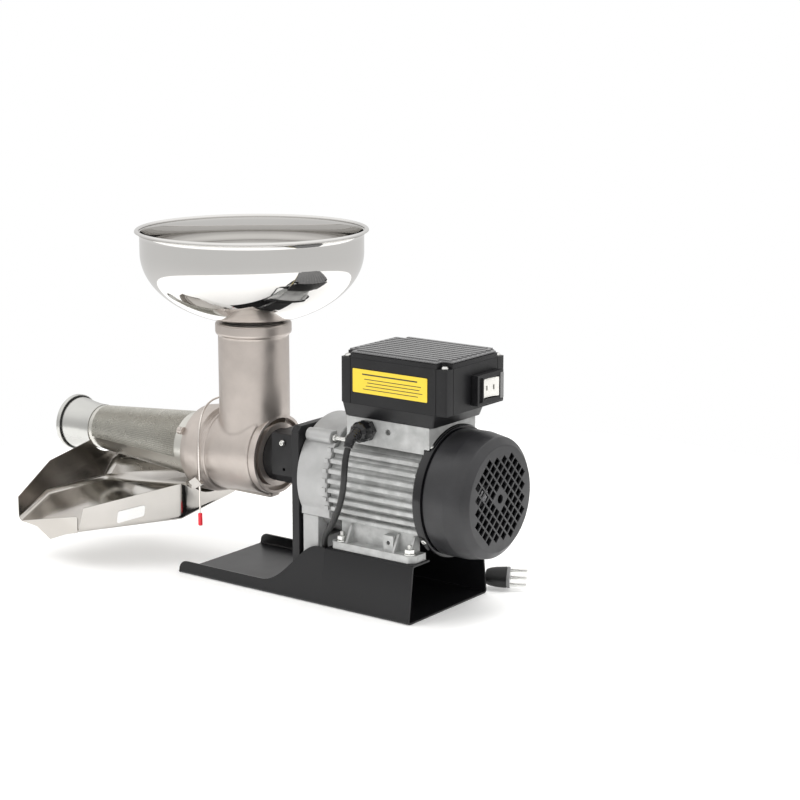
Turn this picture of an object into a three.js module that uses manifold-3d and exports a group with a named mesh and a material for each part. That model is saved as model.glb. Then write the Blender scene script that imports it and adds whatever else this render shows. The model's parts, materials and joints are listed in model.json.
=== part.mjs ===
// Motorised food mill: an induction motor with an in-line reducer on a folded sheet base,
// driving a press head with a hopper, an auger, a conical sieve and a juice chute.
// Millimetres, +Z up, +X along the motor axis towards the fan, -Y is the side with the label.
// The origin is on the resting plane, under the middle of the motor's feet.

import * as THREE from 'three';
import { mergeVertices } from 'three/addons/utils/BufferGeometryUtils.js';
import Module from 'manifold-3d';

const wasm = await Module();
wasm.setup();

// ---------------------------------------------------------------- driving dimensions
const GAP = 0.3; // clearance between pieces that touch
const SHAFT_HEIGHT = 71; // motor axis above the underside of its feet
const PLATFORM_Z = 64.6; // top of the base's folded flanges
const AXIS_Z = PLATFORM_Z + SHAFT_HEIGHT;

const BASE = { x0: -274, x1: 58, half: 75, lean: 8, sheet: 2, lip: 15, flange: 36 };
const PLATE = { x0: -113, x1: -103, half: 61.5, top: 195 };
const MOTOR = { x0: -60, x1: 60, bore: 56.3, shell: 60.5 };
const FIN = { r: 67, pitch: 10.7, shift: 5.5, half: 2.6, x0: -58, x1: 57 };
const SADDLE = { x0: -43.6, x1: 67, y0: -50, y1: 36, z0: 184.5 }; // carries the control box
const FOOT = { x0: -57, x1: 55, y0: 39, y1: 63, top: 73 };
const BOLT = { x: 46, y: 56 };
const FLANGE = { r: 73, x0: 60.3, x1: 71 };
const COVER = { r: 70, shoulder: 65.7, face: 56.5, x0: 71.3, x1: 125, wall: 2 };
const GRILLE = { reach: 47.5, pitch: 14, half: 5.6, clear: 8 };
const DRUM = { r: 66.5, x0: -102.7, x1: -60.3, bore: 58 };
const TIE = { y: 47.5, z: 185.5, boss: 7.5, back: 4 }; // tie bolt bosses on the reducer
const CENTRES = 30; // distance between the motor shaft and the layshaft
const STAGE1 = { module: 1.25, pinion: 10, gear: 38 };
const STAGE2 = { module: 1.5, pinion: 10, gear: 30 };

const BOX = { x0: -48, x1: 92, half: 54.8, z0: 214.3, seam: 230, post: 280, lid: 285, notch: 12 };
const SWITCH = { x: 96.5, y: 17.5, z: 251.5, width: 27, height: 21, rest: -8 };
const GLAND = { x: -14, z: 202, y: -50 };

const NECK = { x: -218.5, r: 41, bore: 35.5, collar: 44, top: 293 };
const HEAD = { x0: -292, x1: -181.6, flange: 51, bore: 36, rim: 43.5 };
const BARREL = [[-259, 46.5, 136.5], [-236, 47.8, 140], [-190, 48.5, 141.5]]; // x, radius, height
const TAIL = { x: -190, z: 140.9, r: 46.3, bore: 30.3, spigot: 29.8, groove0: 37, groove1: 42.5 };
const HOPPER = { r: 128, rim: 133.6, top: 401, bowl: 374, depth: 82, spigot: 34.6, wall: 1.6 };
const SIEVE = { x0: -291.7, r0: 40.2, x1: -465, r1: 26.4, wall: 1.3 };
const COLLAR = { x1: -513, rim: 34.3, r: 31.4 };
const CHUTE = { sheet: 1.4, outlet: -140, outletX: -372, outletZ: 45, end: -286, corner: -53.5, back: 46 };
const BAIL = { r: 53.2, wire: 1.1, leg: -258.6, side: -259.4, sweep: 8, rise: 63, power: 0.74 };
const BAIL_LEGS = [{ end: 70, tip: 15 }, { end: 83, tip: 11 }]; // near leg, far leg
const EAR = { x: -265.5, z: 105.5, halfX: 10.5, halfZ: 7, thick: 5.4, hole: 1.9 };

const CORD = 7; // mains lead diameter
const COIL = { x: -60, y: 132.6, r0: 26.8, r1: 48.7, z0: 1.4, z1: 15.7 };

// ---------------------------------------------------------------- materials
function material(color, roughness, metalness, extra = {}) {
  return new THREE.MeshStandardMaterial({ color, roughness, metalness, ...extra });
}
const blackSheet = material(0x0c0c0d, 0.3, 0.2);
const blackPlastic = material(0x1c1c1e, 0.5, 0.0);
const fanPlastic = material(0x2a2a2c, 0.45, 0.0);
const castAluminium = material(0xb4b4b2, 0.5, 0.6);
const headCasting = material(0xa89e96, 0.42, 0.8);
const mirrorSteel = material(0xd4d3d0, 0.08, 1.0);
const satinSteel = material(0xb8b4ac, 0.28, 1.0);
const zincSteel = material(0xd0d0ce, 0.3, 0.9);
const darkSteel = material(0x77777a, 0.4, 0.9);
const gearSteel = material(0x8a8a8c, 0.35, 0.9);
const copperWound = material(0x8a5a34, 0.5, 0.6);
const rubber = material(0x111111, 0.8, 0.0);
const redPlastic = material(0xc2142a, 0.4, 0.0);
const yellowLabel = material(0xf2dc3c, 0.5, 0.0);
const whitePlastic = material(0xe6e4dc, 0.35, 0.0);
const nylon = material(0xd8d2c0, 0.5, 0.0);

// ---------------------------------------------------------------- solids and booleans
function toSolid(geometry) {
  const bare = geometry.clone();
  for (const name of Object.keys(bare.attributes)) {
    if (name !== 'position') bare.deleteAttribute(name);
  }
  const merged = mergeVertices(bare, 1e-4);
  const mesh = new wasm.Mesh({
    numProp: 3,
    vertProperties: new Float32Array(merged.attributes.position.array),
    triVerts: new Uint32Array(merged.index.array),
  });
  return new wasm.Manifold(mesh);
}

function toGeometry(solid) {
  const mesh = solid.getMesh();
  const geometry = new THREE.BufferGeometry();
  geometry.setAttribute('position', new THREE.BufferAttribute(mesh.vertProperties.slice(), 3));
  geometry.setIndex(new THREE.BufferAttribute(mesh.triVerts.slice(), 1));
  geometry.computeVertexNormals();
  return geometry;
}

function join(...geometries) {
  let solid = toSolid(geometries[0]);
  for (const geometry of geometries.slice(1)) solid = solid.add(toSolid(geometry));
  return toGeometry(solid);
}

function cut(body, ...tools) {
  let solid = toSolid(body);
  for (const tool of tools) solid = solid.subtract(toSolid(tool));
  return toGeometry(solid);
}

function common(a, b) {
  return toGeometry(toSolid(a).intersect(toSolid(b)));
}

function block(x0, x1, y0, y1, z0, z1) {
  const box = new THREE.BoxGeometry(x1 - x0, y1 - y0, z1 - z0);
  return box.translate((x0 + x1) / 2, (y0 + y1) / 2, (z0 + z1) / 2);
}

// Solid of revolution from [radius, height] pairs, about the Z axis, then turned to X if asked.
function turned(profile, segments = 48, axis = 'z') {
  const points = profile.map(([r, h]) => new THREE.Vector2(r, h));
  const geometry = new THREE.LatheGeometry(points, segments);
  geometry.rotateX(Math.PI / 2); // the lathe turns about Y: bring its axis to Z
  if (axis === 'x') geometry.rotateY(Math.PI / 2);
  if (axis === 'y') geometry.rotateX(-Math.PI / 2);
  return outward(geometry);
}

// Turns a closed mesh inside out when its volume comes out negative.
function outward(geometry) {
  const g = geometry.index ? geometry.toNonIndexed() : geometry;
  const p = g.attributes.position;
  const [a, b, c] = [new THREE.Vector3(), new THREE.Vector3(), new THREE.Vector3()];
  let volume = 0;
  for (let i = 0; i < p.count; i += 3) {
    a.fromBufferAttribute(p, i);
    b.fromBufferAttribute(p, i + 1);
    c.fromBufferAttribute(p, i + 2);
    volume += a.dot(b.cross(c));
  }
  if (volume > 0) return g;
  for (let i = 0; i < p.count; i += 3) {
    b.fromBufferAttribute(p, i + 1);
    c.fromBufferAttribute(p, i + 2);
    p.setXYZ(i + 1, c.x, c.y, c.z);
    p.setXYZ(i + 2, b.x, b.y, b.z);
  }
  return g;
}

// Ring or tube between two radii and two heights.
function ring(r0, r1, h0, h1, segments = 32, axis = 'x') {
  return turned([[r0, h0], [r1, h0], [r1, h1], [r0, h1], [r0, h0]], segments, axis);
}

// Solid rod between two heights.
function rod(r, h0, h1, segments = 24, axis = 'x') {
  return turned([[0, h0], [r, h0], [r, h1], [0, h1]], segments, axis);
}

// Extrusion of a shape drawn in (Y, Z) along X.
function alongX(shape, x0, x1, curveSegments = 8) {
  const g = new THREE.ExtrudeGeometry(shape, { depth: x1 - x0, bevelEnabled: false, curveSegments });
  const basis = new THREE.Matrix4().makeBasis(
    new THREE.Vector3(0, 1, 0), new THREE.Vector3(0, 0, 1), new THREE.Vector3(1, 0, 0));
  return g.applyMatrix4(basis).translate(x0, 0, 0);
}

// Extrusion of a shape drawn in (X, Z) along Y.
function alongY(shape, y0, y1, curveSegments = 8) {
  const g = new THREE.ExtrudeGeometry(shape, { depth: y1 - y0, bevelEnabled: false, curveSegments });
  const basis = new THREE.Matrix4().makeBasis(
    new THREE.Vector3(1, 0, 0), new THREE.Vector3(0, 0, 1), new THREE.Vector3(0, -1, 0));
  return g.applyMatrix4(basis).translate(0, y1, 0);
}

function alongZ(shape, z0, z1, curveSegments = 8) {
  const g = new THREE.ExtrudeGeometry(shape, { depth: z1 - z0, bevelEnabled: false, curveSegments });
  return g.translate(0, 0, z0);
}

function polygon(points) {
  return new THREE.Shape(points.map(([u, v]) => new THREE.Vector2(u, v)));
}

function circlePoints(r, count, u0 = 0, v0 = 0, phase = 0) {
  return Array.from({ length: count }, (_, i) => {
    const t = phase + (i / count) * 2 * Math.PI;
    return [u0 + r * Math.cos(t), v0 + r * Math.sin(t)];
  });
}

// Round or regular hole for a flat shape.
function hole(r, count, u0 = 0, v0 = 0) {
  return new THREE.Path(circlePoints(r, count, u0, v0).map((q) => new THREE.Vector2(...q)));
}

// Round section swept along a smooth curve through the given points.
function swept(points, radius, steps, sides = 8, tension = 0.5) {
  const path = new THREE.CatmullRomCurve3(
    points.map((p) => new THREE.Vector3(...p)), false, 'catmullrom', tension);
  const section = polygon(circlePoints(radius, sides));
  return outward(new THREE.ExtrudeGeometry(section, { steps, extrudePath: path, bevelEnabled: false }));
}

// Flat plate given by coplanar corner points, thickened by half its sheet to each side.
function sheetPlate(corners, thickness) {
  const p = corners.map((c) => new THREE.Vector3(...c));
  const u = p[1].clone().sub(p[0]).normalize();
  const n = new THREE.Vector3();
  for (let i = 0; i < p.length; i++) {
    n.add(p[i].clone().sub(p[0]).cross(p[(i + 1) % p.length].clone().sub(p[0])));
  }
  n.normalize();
  const v = n.clone().cross(u);
  const flat = p.map((q) => [q.clone().sub(p[0]).dot(u), q.clone().sub(p[0]).dot(v)]);
  const g = new THREE.ExtrudeGeometry(polygon(flat), { depth: thickness, bevelEnabled: false });
  g.translate(0, 0, -thickness / 2);
  g.applyMatrix4(new THREE.Matrix4().makeBasis(u, v, n));
  return g.translate(...corners[0]);
}

// Shapes drawn about the origin are carried to the motor axis height.
function onAxis(geometry, y = 0) {
  return geometry.translate(0, y, AXIS_Z);
}

// ---------------------------------------------------------------- the assembly
const group = new THREE.Group();
group.name = 'motorised_food_mill';

function part(name, geometry, mat, position = [0, 0, 0]) {
  const mesh = new THREE.Mesh(geometry, mat);
  mesh.name = name;
  mesh.position.set(...position);
  group.add(mesh);
  return mesh;
}

// Folded sheet base: floor, two leaning side panels, low lips and the flanges under the motor.
function baseTray() {
  const { x0, x1, half, lean, sheet, lip, flange } = BASE;
  const top = half - lean;
  const section = polygon([[-half, 0], [half, 0], [top, PLATFORM_Z], [-top, PLATFORM_Z]]);
  const side = new THREE.Shape();
  side.moveTo(x0, 0);
  side.lineTo(x1, 0);
  side.lineTo(x1, PLATFORM_Z);
  side.lineTo(-74, PLATFORM_Z);
  side.bezierCurveTo(-96, PLATFORM_Z, -118, lip, -150, lip);
  side.lineTo(x0 + 10, lip);
  side.quadraticCurveTo(x0, lip, x0, lip - 10);
  const outer = common(alongX(section, x0, x1), alongY(side, -half - 1, half + 1, 10));
  const lineTo = (z) => half - (lean * z) / PLATFORM_Z - sheet;
  const inside = (z1) => polygon([
    [-lineTo(sheet), sheet], [lineTo(sheet), sheet], [lineTo(z1), z1], [-lineTo(z1), z1]]);
  return cut(
    outer,
    alongX(inside(PLATFORM_Z - sheet), x0 - 5, x1 + 5),
    alongX(inside(PLATFORM_Z + 5), x0 - 5, -62),
    block(-65, x1 + 5, -flange, flange, PLATFORM_Z - 5, PLATFORM_Z + 5),
  );
}
part('base_tray', baseTray(), blackSheet);

// Upright steel plate between reducer and press head, with a cable notch at its foot.
function supportPlate() {
  const { x0, x1, half, top } = PLATE;
  const z0 = BASE.sheet + GAP;
  const outline = polygon([
    [-half, z0], [half, z0], [half, top - 6], [half - 6, top], [6 - half, top], [-half, top - 6]]);
  return cut(
    alongX(outline, x0, x1),
    onAxis(rod(16, x0 - 1, x1 + 1)),
    block(x0 - 1, x1 + 1, -26, 18, 0, 14),
  );
}
part('support_plate', supportPlate(), blackSheet);

// Square bracket with a round spigot that enters the back of the press head.
function couplingBracket() {
  const outline = polygon([[-22, 116], [22, 116], [30, 126], [30, 174.5], [-30, 174.5], [-30, 126]]);
  const spigot = rod(TAIL.spigot, TAIL.x + 2, -160, 28).translate(0, 0, TAIL.z);
  return cut(
    join(alongX(outline, -168, PLATE.x0 - GAP), spigot),
    onAxis(rod(16, -190, PLATE.x0 + 1)),
  );
}
part('coupling_bracket', couplingBracket(), blackSheet);
part('clamp_screw', turned([[0, 0], [4, 0], [4, 3.6], [0, 3.6]], 16, 'y'), zincSteel,
  [-151.3, -30 - GAP - 3.6, 164]);

// ---------------------------------------------------------------- reducer
function gearboxHousing() {
  const { r, x0, x1, bore } = DRUM;
  const drum = turned([
    [11.3, x0], [r - 1.5, x0], [r, x0 + 1.5], [r, x1 - 1.5], [r - 1, x1], [bore, x1],
    [bore, x0 + 5.5], [11.3, x0 + 5.5], [11.3, x0],
  ], 36, 'x');
  const sump = block(x0 + 2.7, x1 - 0.7, -60, 60, 97, 109);
  const bosses = [-1, 1].map((s) => rod(TIE.boss, x0 + 4, x1 - TIE.back, 14).translate(0, s * TIE.y, TIE.z));
  const cavity = onAxis(rod(bore, x0 + 5.5, x1 + 1, 36));
  const seats = [-1, 1].map((s) => rod(5.5, x1 - TIE.back, x1 + 1, 14).translate(0, s * TIE.y, TIE.z));
  return cut(join(onAxis(drum), sump, ...bosses), cavity, ...seats);
}
part('gearbox_housing', gearboxHousing(), castAluminium);

// Bridge-shaped stand that carries the reducer on the base's floor.
function gearboxStand() {
  const z0 = BASE.sheet + GAP;
  return join(
    block(-98.5, -77, -60, -44, z0, 96.7),
    block(-98.5, -77, 44, 60, z0, 96.7),
    block(-98.5, -77, -50, 50, 56, 70.8),
  );
}
part('gearbox_stand', common(gearboxStand(), cut(block(-120, -60, -70, 70, 0, 96.7),
  onAxis(rod(DRUM.r + GAP, -120, -50, 48)))), castAluminium);

// Spur gear outline with straight flanks: tooth tips, flanks and roots.
function gearShape(teeth, module, bore, phase) {
  const pitchR = (teeth * module) / 2;
  const tip = pitchR + 0.8 * module;
  const root = pitchR - 1.25 * module;
  const step = (2 * Math.PI) / teeth;
  const points = [];
  for (let i = 0; i < teeth; i++) {
    const a = phase + i * step;
    const corners = [[root, -0.3], [tip, -0.11], [tip, 0.11], [root, 0.3]];
    for (const [r, k] of corners) points.push([r * Math.cos(a + k * step), r * Math.sin(a + k * step)]);
  }
  const shape = polygon(points);
  if (bore > 0) shape.holes.push(hole(bore, 20));
  return shape;
}

// The layshaft stands straight above the motor shaft, so meshing teeth meet on the vertical line.
const UP = Math.PI / 2;
const LAY_Z = AXIS_Z + CENTRES;
const gap1 = Math.PI / STAGE1.gear;
const gap2 = Math.PI / STAGE2.gear;

function rotorShaft() {
  const shaft = turned([
    [0, -75], [4.4, -75], [4.4, -61.5], [7.5, -61.5], [7.5, -52], [9, -51], [9, 58], [7.5, 59], [7.5, 104],
    [0, 104],
  ], 16, 'x');
  const pinion = alongX(gearShape(STAGE1.pinion, STAGE1.module, 0, UP), -75, -62);
  return onAxis(join(shaft, pinion));
}
part('rotor_shaft', rotorShaft(), darkSteel);
part('rotor_core', onAxis(ring(9.3, 33.6, -34, 34, 24)), gearSteel);
part('stator_core', onAxis(ring(34.6, 55.6, -36, 36, 28)), copperWound);

function coolingFan() {
  const hub = ring(7.8, 13, 76, 100, 20);
  const blades = [];
  const back = ring(12, 60, 76, 77.6, 28);
  for (let i = 0; i < 6; i++) {
    blades.push(block(77, 98, 11, 60, -1.1, 1.1).rotateX((i * Math.PI) / 3));
  }
  return onAxis(join(hub, back, ...blades));
}
part('cooling_fan', coolingFan(), blackPlastic);
part('front_bearing', onAxis(ring(7.8, 15.9, -59.6, -52.4, 20)), zincSteel);
part('rear_bearing', onAxis(ring(7.8, 15.6, 61, 69, 20)), zincSteel);

function layshaft() {
  const shaft = rod(5, -95.5, -61.5, 20);
  const pinion = alongX(gearShape(STAGE2.pinion, STAGE2.module, 0, -UP), -92, -76);
  return join(shaft, pinion).translate(0, 0, LAY_Z);
}
part('layshaft', layshaft(), gearSteel);
part('layshaft_gear', alongX(gearShape(STAGE1.gear, STAGE1.module, 5.3, -UP + gap1), -74, -63)
  .translate(0, 0, LAY_Z), gearSteel);
part('output_gear', onAxis(alongX(gearShape(STAGE2.gear, STAGE2.module, 10.3, UP + gap2), -91, -77)),
  gearSteel);

// Output shaft with a socket at its end for the auger's tail.
function outputShaft() {
  return onAxis(turned([
    [0, -76.5], [10, -76.5], [10, -148], [13, -150], [13, -186], [8.4, -186], [8.4, -153], [0, -153],
  ].reverse(), 20, 'x'));
}
part('output_shaft', outputShaft(), darkSteel);

// ---------------------------------------------------------------- motor
function motorHousing() {
  const { x0, x1, bore, shell } = MOTOR;
  const body = onAxis(turned([
    [16.3, x0], [shell, x0], [shell, x1], [bore, x1], [bore, x0 + 6], [16.3, x0 + 6], [16.3, x0],
  ], 40, 'x'));
  const solids = [body];
  for (let k = -4; k <= 3; k++) {
    const dz = FIN.shift + k * FIN.pitch;
    const reach = Math.sqrt(FIN.r * FIN.r - dz * dz);
    solids.push(block(FIN.x0, FIN.x1, -reach, reach, AXIS_Z + dz - FIN.half, AXIS_Z + dz + FIN.half));
  }
  for (const s of [-1, 1]) {
    const y = (a, b) => [Math.min(s * a, s * b), Math.max(s * a, s * b)];
    solids.push(block(FOOT.x0, FOOT.x1, ...y(FOOT.y0, FOOT.y1), PLATFORM_Z + GAP, FOOT.top));
    solids.push(block(-50, 50, ...y(43, 49), FOOT.top - 1, 100));
    for (const x of [-38, 26]) {
      const rib = polygon([[s * 48, FOOT.top - 1], [s * 62, FOOT.top - 1], [s * 48, 96]]);
      solids.push(outward(alongX(rib, x - 1.5, x + 1.5)));
    }
    solids.push(block(12, 25, ...y(48, 58), FOOT.top - 1, 90));
  }
  solids.push(block(SADDLE.x0, SADDLE.x1, SADDLE.y0, SADDLE.y1, SADDLE.z0, BOX.z0 - GAP));
  return cut(
    join(...solids),
    onAxis(ring(0.01, FLANGE.r + 1, MOTOR.x1 - 0.01, 75, 40)),
    onAxis(rod(bore, x0 + 6, x1 + 1, 40)),
    onAxis(rod(16.3, x0 - 1, x0 + 7, 40)),
    rod(3.4, -51, -44, 12, 'y').translate(12.4, 0, 202.4),
    rod(8, -51, -38, 20, 'y').translate(GLAND.x, 0, GLAND.z),
    rod(2.2, -60, -52, 10, 'y').translate(18.5, 0, 82),
  );
}
part('motor_housing', motorHousing(), castAluminium);

for (const [i, [sx, sy]] of [[-1, -1], [1, -1], [-1, 1], [1, 1]].entries()) {
  const nut = turned([[0, 0], [7, 0], [7, 1.6], [5.6, 1.6], [5.6, 6.4], [2.8, 6.4], [2.8, 11], [0, 11]], 6);
  part(`foot_bolt_${i + 1}`, nut, zincSteel, [sx * BOLT.x, sy * BOLT.y, FOOT.top + GAP]);
}

// Long tie bolt along the top of the motor, from the reducer's boss.
part('tie_bolt', turned([[0, 0], [4, 0], [4, 4], [2.4, 4], [2.4, 19], [0, 19]], 12, 'x'), zincSteel,
  [DRUM.x1 - TIE.back + GAP, -TIE.y, TIE.z]);

function rearFlange() {
  return onAxis(ring(16, FLANGE.r, FLANGE.x0, FLANGE.x1, 36));
}
part('rear_flange', rearFlange(), blackPlastic);

// Ventilated fan cover: cylinder, rounded shoulder and a face with a lattice of square holes.
function fanCover() {
  const { r, shoulder, face, x0, x1, wall } = COVER;
  const shell = turned([
    [face - 2.5, x1 - wall], [face - 1, x1 - wall], [shoulder - 2, x1 - 7], [r - wall, x1 - 24],
    [68.4, x0 + 6.2], [68.4, x0], [r, x0], [r, x1 - 25], [shoulder, x1 - 5.2], [face, x1], [face - 2.5, x1],
    [face - 2.5, x1 - wall],
  ], 36, 'x');
  const disc = polygon(circlePoints(face - 1.5, 36));
  const holes = [];
  for (let i = -4; i <= 4; i++) {
    for (let j = -4; j <= 4; j++) {
      holes.push([GRILLE.pitch * (i + 0.5), GRILLE.pitch * j]);
      holes.push([GRILLE.pitch * i, GRILLE.pitch * (j + 0.5)]);
    }
  }
  for (const [u, v] of holes) {
    const d = Math.hypot(u, v);
    if (d > GRILLE.clear && d < GRILLE.reach) {
      disc.holes.push(hole(GRILLE.half, 4, u, v));
    }
  }
  disc.holes.push(hole(5, 12));
  return onAxis(join(shell, alongX(disc, x1 - wall, x1)));
}
part('fan_cover', fanCover(), fanPlastic);

// ---------------------------------------------------------------- control box
function boxBase() {
  const { x0, z0, seam } = BOX;
  const outer = polygon([[-50, z0], [38, z0], [44, seam - GAP], [-53.5, seam - GAP]]);
  const side = polygon([[x0 + 2, z0], [72, z0], [76, seam - GAP], [x0, seam - GAP]]);
  return cut(
    common(alongX(outer, x0 - 1, 80), alongY(side, -60, 60)),
    block(x0 + 5, 70, -47, 35, z0 + 3, seam + 1),
  );
}
part('control_box_base', boxBase(), blackPlastic);

// Cross-shaped outline: a rectangle with its four corners notched out.
function notched(x0, x1, half, notch) {
  return polygon([
    [x0 + notch, -half], [x1 - notch, -half], [x1 - notch, notch - half], [x1, notch - half],
    [x1, half - notch], [x1 - notch, half - notch], [x1 - notch, half], [x0 + notch, half],
    [x0 + notch, half - notch],
    [x0, half - notch], [x0, notch - half], [x0 + notch, notch - half],
  ]);
}

function boxCover() {
  const { x0, x1, half, seam, post, lid, notch } = BOX;
  return cut(
    join(block(x0, x1, -half, half, seam, post), alongZ(notched(x0, x1, half, notch), post - 1, lid)),
    block(x0 + 3, x1 - 3, 3 - half, half - 3, seam - 1, post - 3),
    block(x1 - 4, x1 + 1, -2, 36, 239, 264),
  );
}
part('control_box_cover', boxCover(), blackPlastic);

// Ribbed top plate in the cover's notched outline.
function lidPlate() {
  const { x0, x1, half, lid, notch } = BOX;
  const z0 = lid + GAP;
  const solids = [alongZ(notched(x0 + 1.5, x1 - 1.5, half - 1.5, notch), z0, z0 + 1.8)];
  for (let k = -5; k <= 5; k++) {
    const reach = Math.abs(k) >= 5 ? notch + 2 : 4;
    solids.push(block(x0 + reach, x1 - reach, k * 9 - 2.2, k * 9 + 2.2, z0 + 1, z0 + 3));
  }
  return join(...solids);
}
part('lid_plate', lidPlate(), fanPlastic);

for (const [i, [x, sy]] of [[-42, -1], [86, -1], [-42, 1], [86, 1]].entries()) {
  part(`lid_screw_${i + 1}`, turned([[0, 0], [4, 0], [3.6, 2.2], [0, 2.8]], 12), zincSteel,
    [x, sy * 48.8, BOX.post + GAP]);
}
part('caution_label', block(-31, 68, -55.7, -55.1, 243, 269), yellowLabel);
part('run_capacitor', rod(15, -30, 45, 20).translate(0, 12, 255), whitePlastic);

// Switch frame on the end of the box; the rocker turns about a vertical pin.
function switchFrame() {
  const frame = block(BOX.x1 + GAP, 101, -9, 40, 235, 268);
  return cut(frame, block(BOX.x1 - 1, 102, 3, 32, 240.4, 262.6));
}
part('switch_frame', switchFrame(), blackPlastic);

function rocker() {
  const { width, height } = SWITCH;
  const outline = polygon([
    [-5, -width / 2 + 2], [3.5, -width / 2], [1.8, 0], [3.5, width / 2], [-5, width / 2 - 2]]);
  return alongZ(outline, -height / 2, height / 2);
}
const rockerMesh = part('switch_rocker', rocker(), whitePlastic, [SWITCH.x, SWITCH.y, SWITCH.z]);
rockerMesh.rotation.z = THREE.MathUtils.degToRad(SWITCH.rest);

// ---------------------------------------------------------------- cable gland, lead and plug
function cableGland() {
  const hex = turned([[0, -60], [12, -60], [12, -50.4], [7.6, -50.4], [7.6, -40], [0, -40]], 6, 'y');
  return cut(hex, rod(4, -61, -39, 12, 'y'));
}
part('cable_gland', outward(cableGland()), blackPlastic, [GLAND.x, 0, GLAND.z]);

// Dome nut with a curved, tapering sleeve that turns the lead downwards.
const exit = [GLAND.x, -86, 189];
function glandSleeve() {
  const dome = turned([[0, -72], [7, -72], [10.5, -68], [11.2, -60.4], [0, -60.4]], 20, 'y')
    .translate(GLAND.x, 0, GLAND.z);
  const sleeve = [];
  const bend = new THREE.CatmullRomCurve3([
    [GLAND.x, -69, GLAND.z], [GLAND.x, -75, GLAND.z - 2], [GLAND.x, -82.3, GLAND.z - 6], exit,
  ].map((p) => new THREE.Vector3(...p)));
  const sides = 12;
  const stations = 6;
  for (let i = 0; i <= stations; i++) {
    const centre = bend.getPoint(i / stations);
    const along = bend.getTangent(i / stations);
    const across = new THREE.Vector3(1, 0, 0);
    const up = along.clone().cross(across).normalize();
    const r = 7 - (2.2 * i) / stations;
    for (let k = 0; k < sides; k++) {
      const t = (k / sides) * 2 * Math.PI;
      const spoke = across.clone().multiplyScalar(r * Math.cos(t)).addScaledVector(up, r * Math.sin(t));
      sleeve.push(spoke.add(centre));
    }
  }
  return join(dome, lofted(sleeve, sides));
}

// Closed loft through rings of points, each with the same number of sides.
function lofted(points, sides) {
  const rings = points.length / sides;
  const positions = points.flatMap((p) => [p.x, p.y, p.z]);
  const index = [];
  for (let i = 0; i + 1 < rings; i++) {
    for (let k = 0; k < sides; k++) {
      const a = i * sides + k;
      const b = i * sides + ((k + 1) % sides);
      index.push(a, b, b + sides, a, b + sides, a + sides);
    }
  }
  for (let k = 1; k + 1 < sides; k++) {
    const last = (rings - 1) * sides;
    index.push(0, k + 1, k, last, last + k, last + k + 1);
  }
  const g = new THREE.BufferGeometry();
  g.setAttribute('position', new THREE.BufferAttribute(new Float32Array(positions), 3));
  g.setIndex(index);
  return outward(g);
}
part('gland_sleeve', glandSleeve(), blackPlastic);

// Lead from the gland down the front of the motor, through the base and over its back lip.
const leadRoute = [
  [-14.1, -86.5, 187.9], [-12.9, -92, 177.5], [-12.3, -94.7, 165], [-14, -94.4, 150], [-19, -91.3, 134],
  [-28.5, -86.5, 116], [-41, -80.5, 98], [-52.5, -74.6, 86.4], [-61, -68.3, 75.8], [-66.6, -61.2, 65],
  [-70, -53.6, 50.8], [-71.7, -46.4, 36], [-74.6, -38.6, 22.8], [-81.2, -29.4, 12.8], [-91, -19, 7.5],
  [-104, -6.5, 6], [-118, 8, 6.2], [-131, 23.5, 7.8], [-141, 38.5, 12], [-147.4, 51.2, 15.8],
  [-151.4, 63.3, 18.5], [-153.3, 75.8, 19.2], [-150.8, 87.9, 17.8], [-143.8, 98.1, 15],
  [-133.4, 104.7, 11.6], [-121.2, 106.8, 8.2], [-109.2, 103.7, 5.6], [-99.3, 96.6, 4.1],
  [-90, 88.6, 3.8], [-80, 83.6, 4.3], [-70.5, 81.2, 4.7], [-62, 80.1, 5],
];
part('mains_cord', swept(leadRoute, CORD / 2, 48, 8), rubber);

const plugRoute = [
  [-54, 80.1, 12.2], [-42, 80, 11.1], [-30, 79.8, 9], [-18, 79.4, 7.2], [-6, 78.9, 6.4], [6, 78.4, 7],
  [15, 78.3, 8.6], [22, 78.9, 10.4], [28.2, 80.2, 12], [33.7, 82, 13.1],
];
part('plug_lead', swept(plugRoute, CORD / 2, 18, 8), rubber);

// Stored length of the lead, wound as a flat coil behind the base, with its tie.
part('cord_coil', ring(COIL.r0, COIL.r1, COIL.z0, COIL.z1, 32, 'z'), rubber, [COIL.x, COIL.y, 0]);
function coilTie() {
  const band = cut(
    block(COIL.r0 - 1.4, COIL.r1 + 1.4, -3, 3, 0.1, COIL.z1 + 1.4),
    block(COIL.r0 - 0.4, COIL.r1 + 0.4, -4, 4, COIL.z0 - 0.4, COIL.z1 + 0.4),
  );
  return band.rotateZ(Math.PI * 0.75);
}
part('coil_tie', coilTie(), rubber, [COIL.x, COIL.y, 0]);

// Plug lying behind the base's corner, turned about the vertical and rolled about its own length.
const PLUG = { x: 72, y: 102, z: 13.5, turn: 28, roll: 40 };
function plugFrame(geometry) {
  geometry.rotateX(THREE.MathUtils.degToRad(PLUG.roll));
  geometry.rotateZ(THREE.MathUtils.degToRad(PLUG.turn));
  return geometry.translate(PLUG.x, PLUG.y, PLUG.z);
}
function plugBody() {
  const sides = 12;
  const stations = [[-42, 4.4, 4.4], [-29, 5.4, 5], [-27, 8.5, 6.2], [-16, 11.6, 7], [0, 12.5, 7.4]];
  const points = [];
  for (const [x, halfWidth, halfThick] of stations) {
    for (let k = 0; k < sides; k++) {
      const t = ((k + 0.5) / sides) * 2 * Math.PI;
      const [c, s] = [Math.cos(t), Math.sin(t)];
      points.push(new THREE.Vector3(x, halfWidth * Math.sign(c) * Math.abs(c) ** 0.6,
        halfThick * Math.sign(s) * Math.abs(s) ** 0.6));
    }
  }
  return plugFrame(lofted(points, sides));
}
part('plug_body', plugBody(), blackPlastic);
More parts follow.
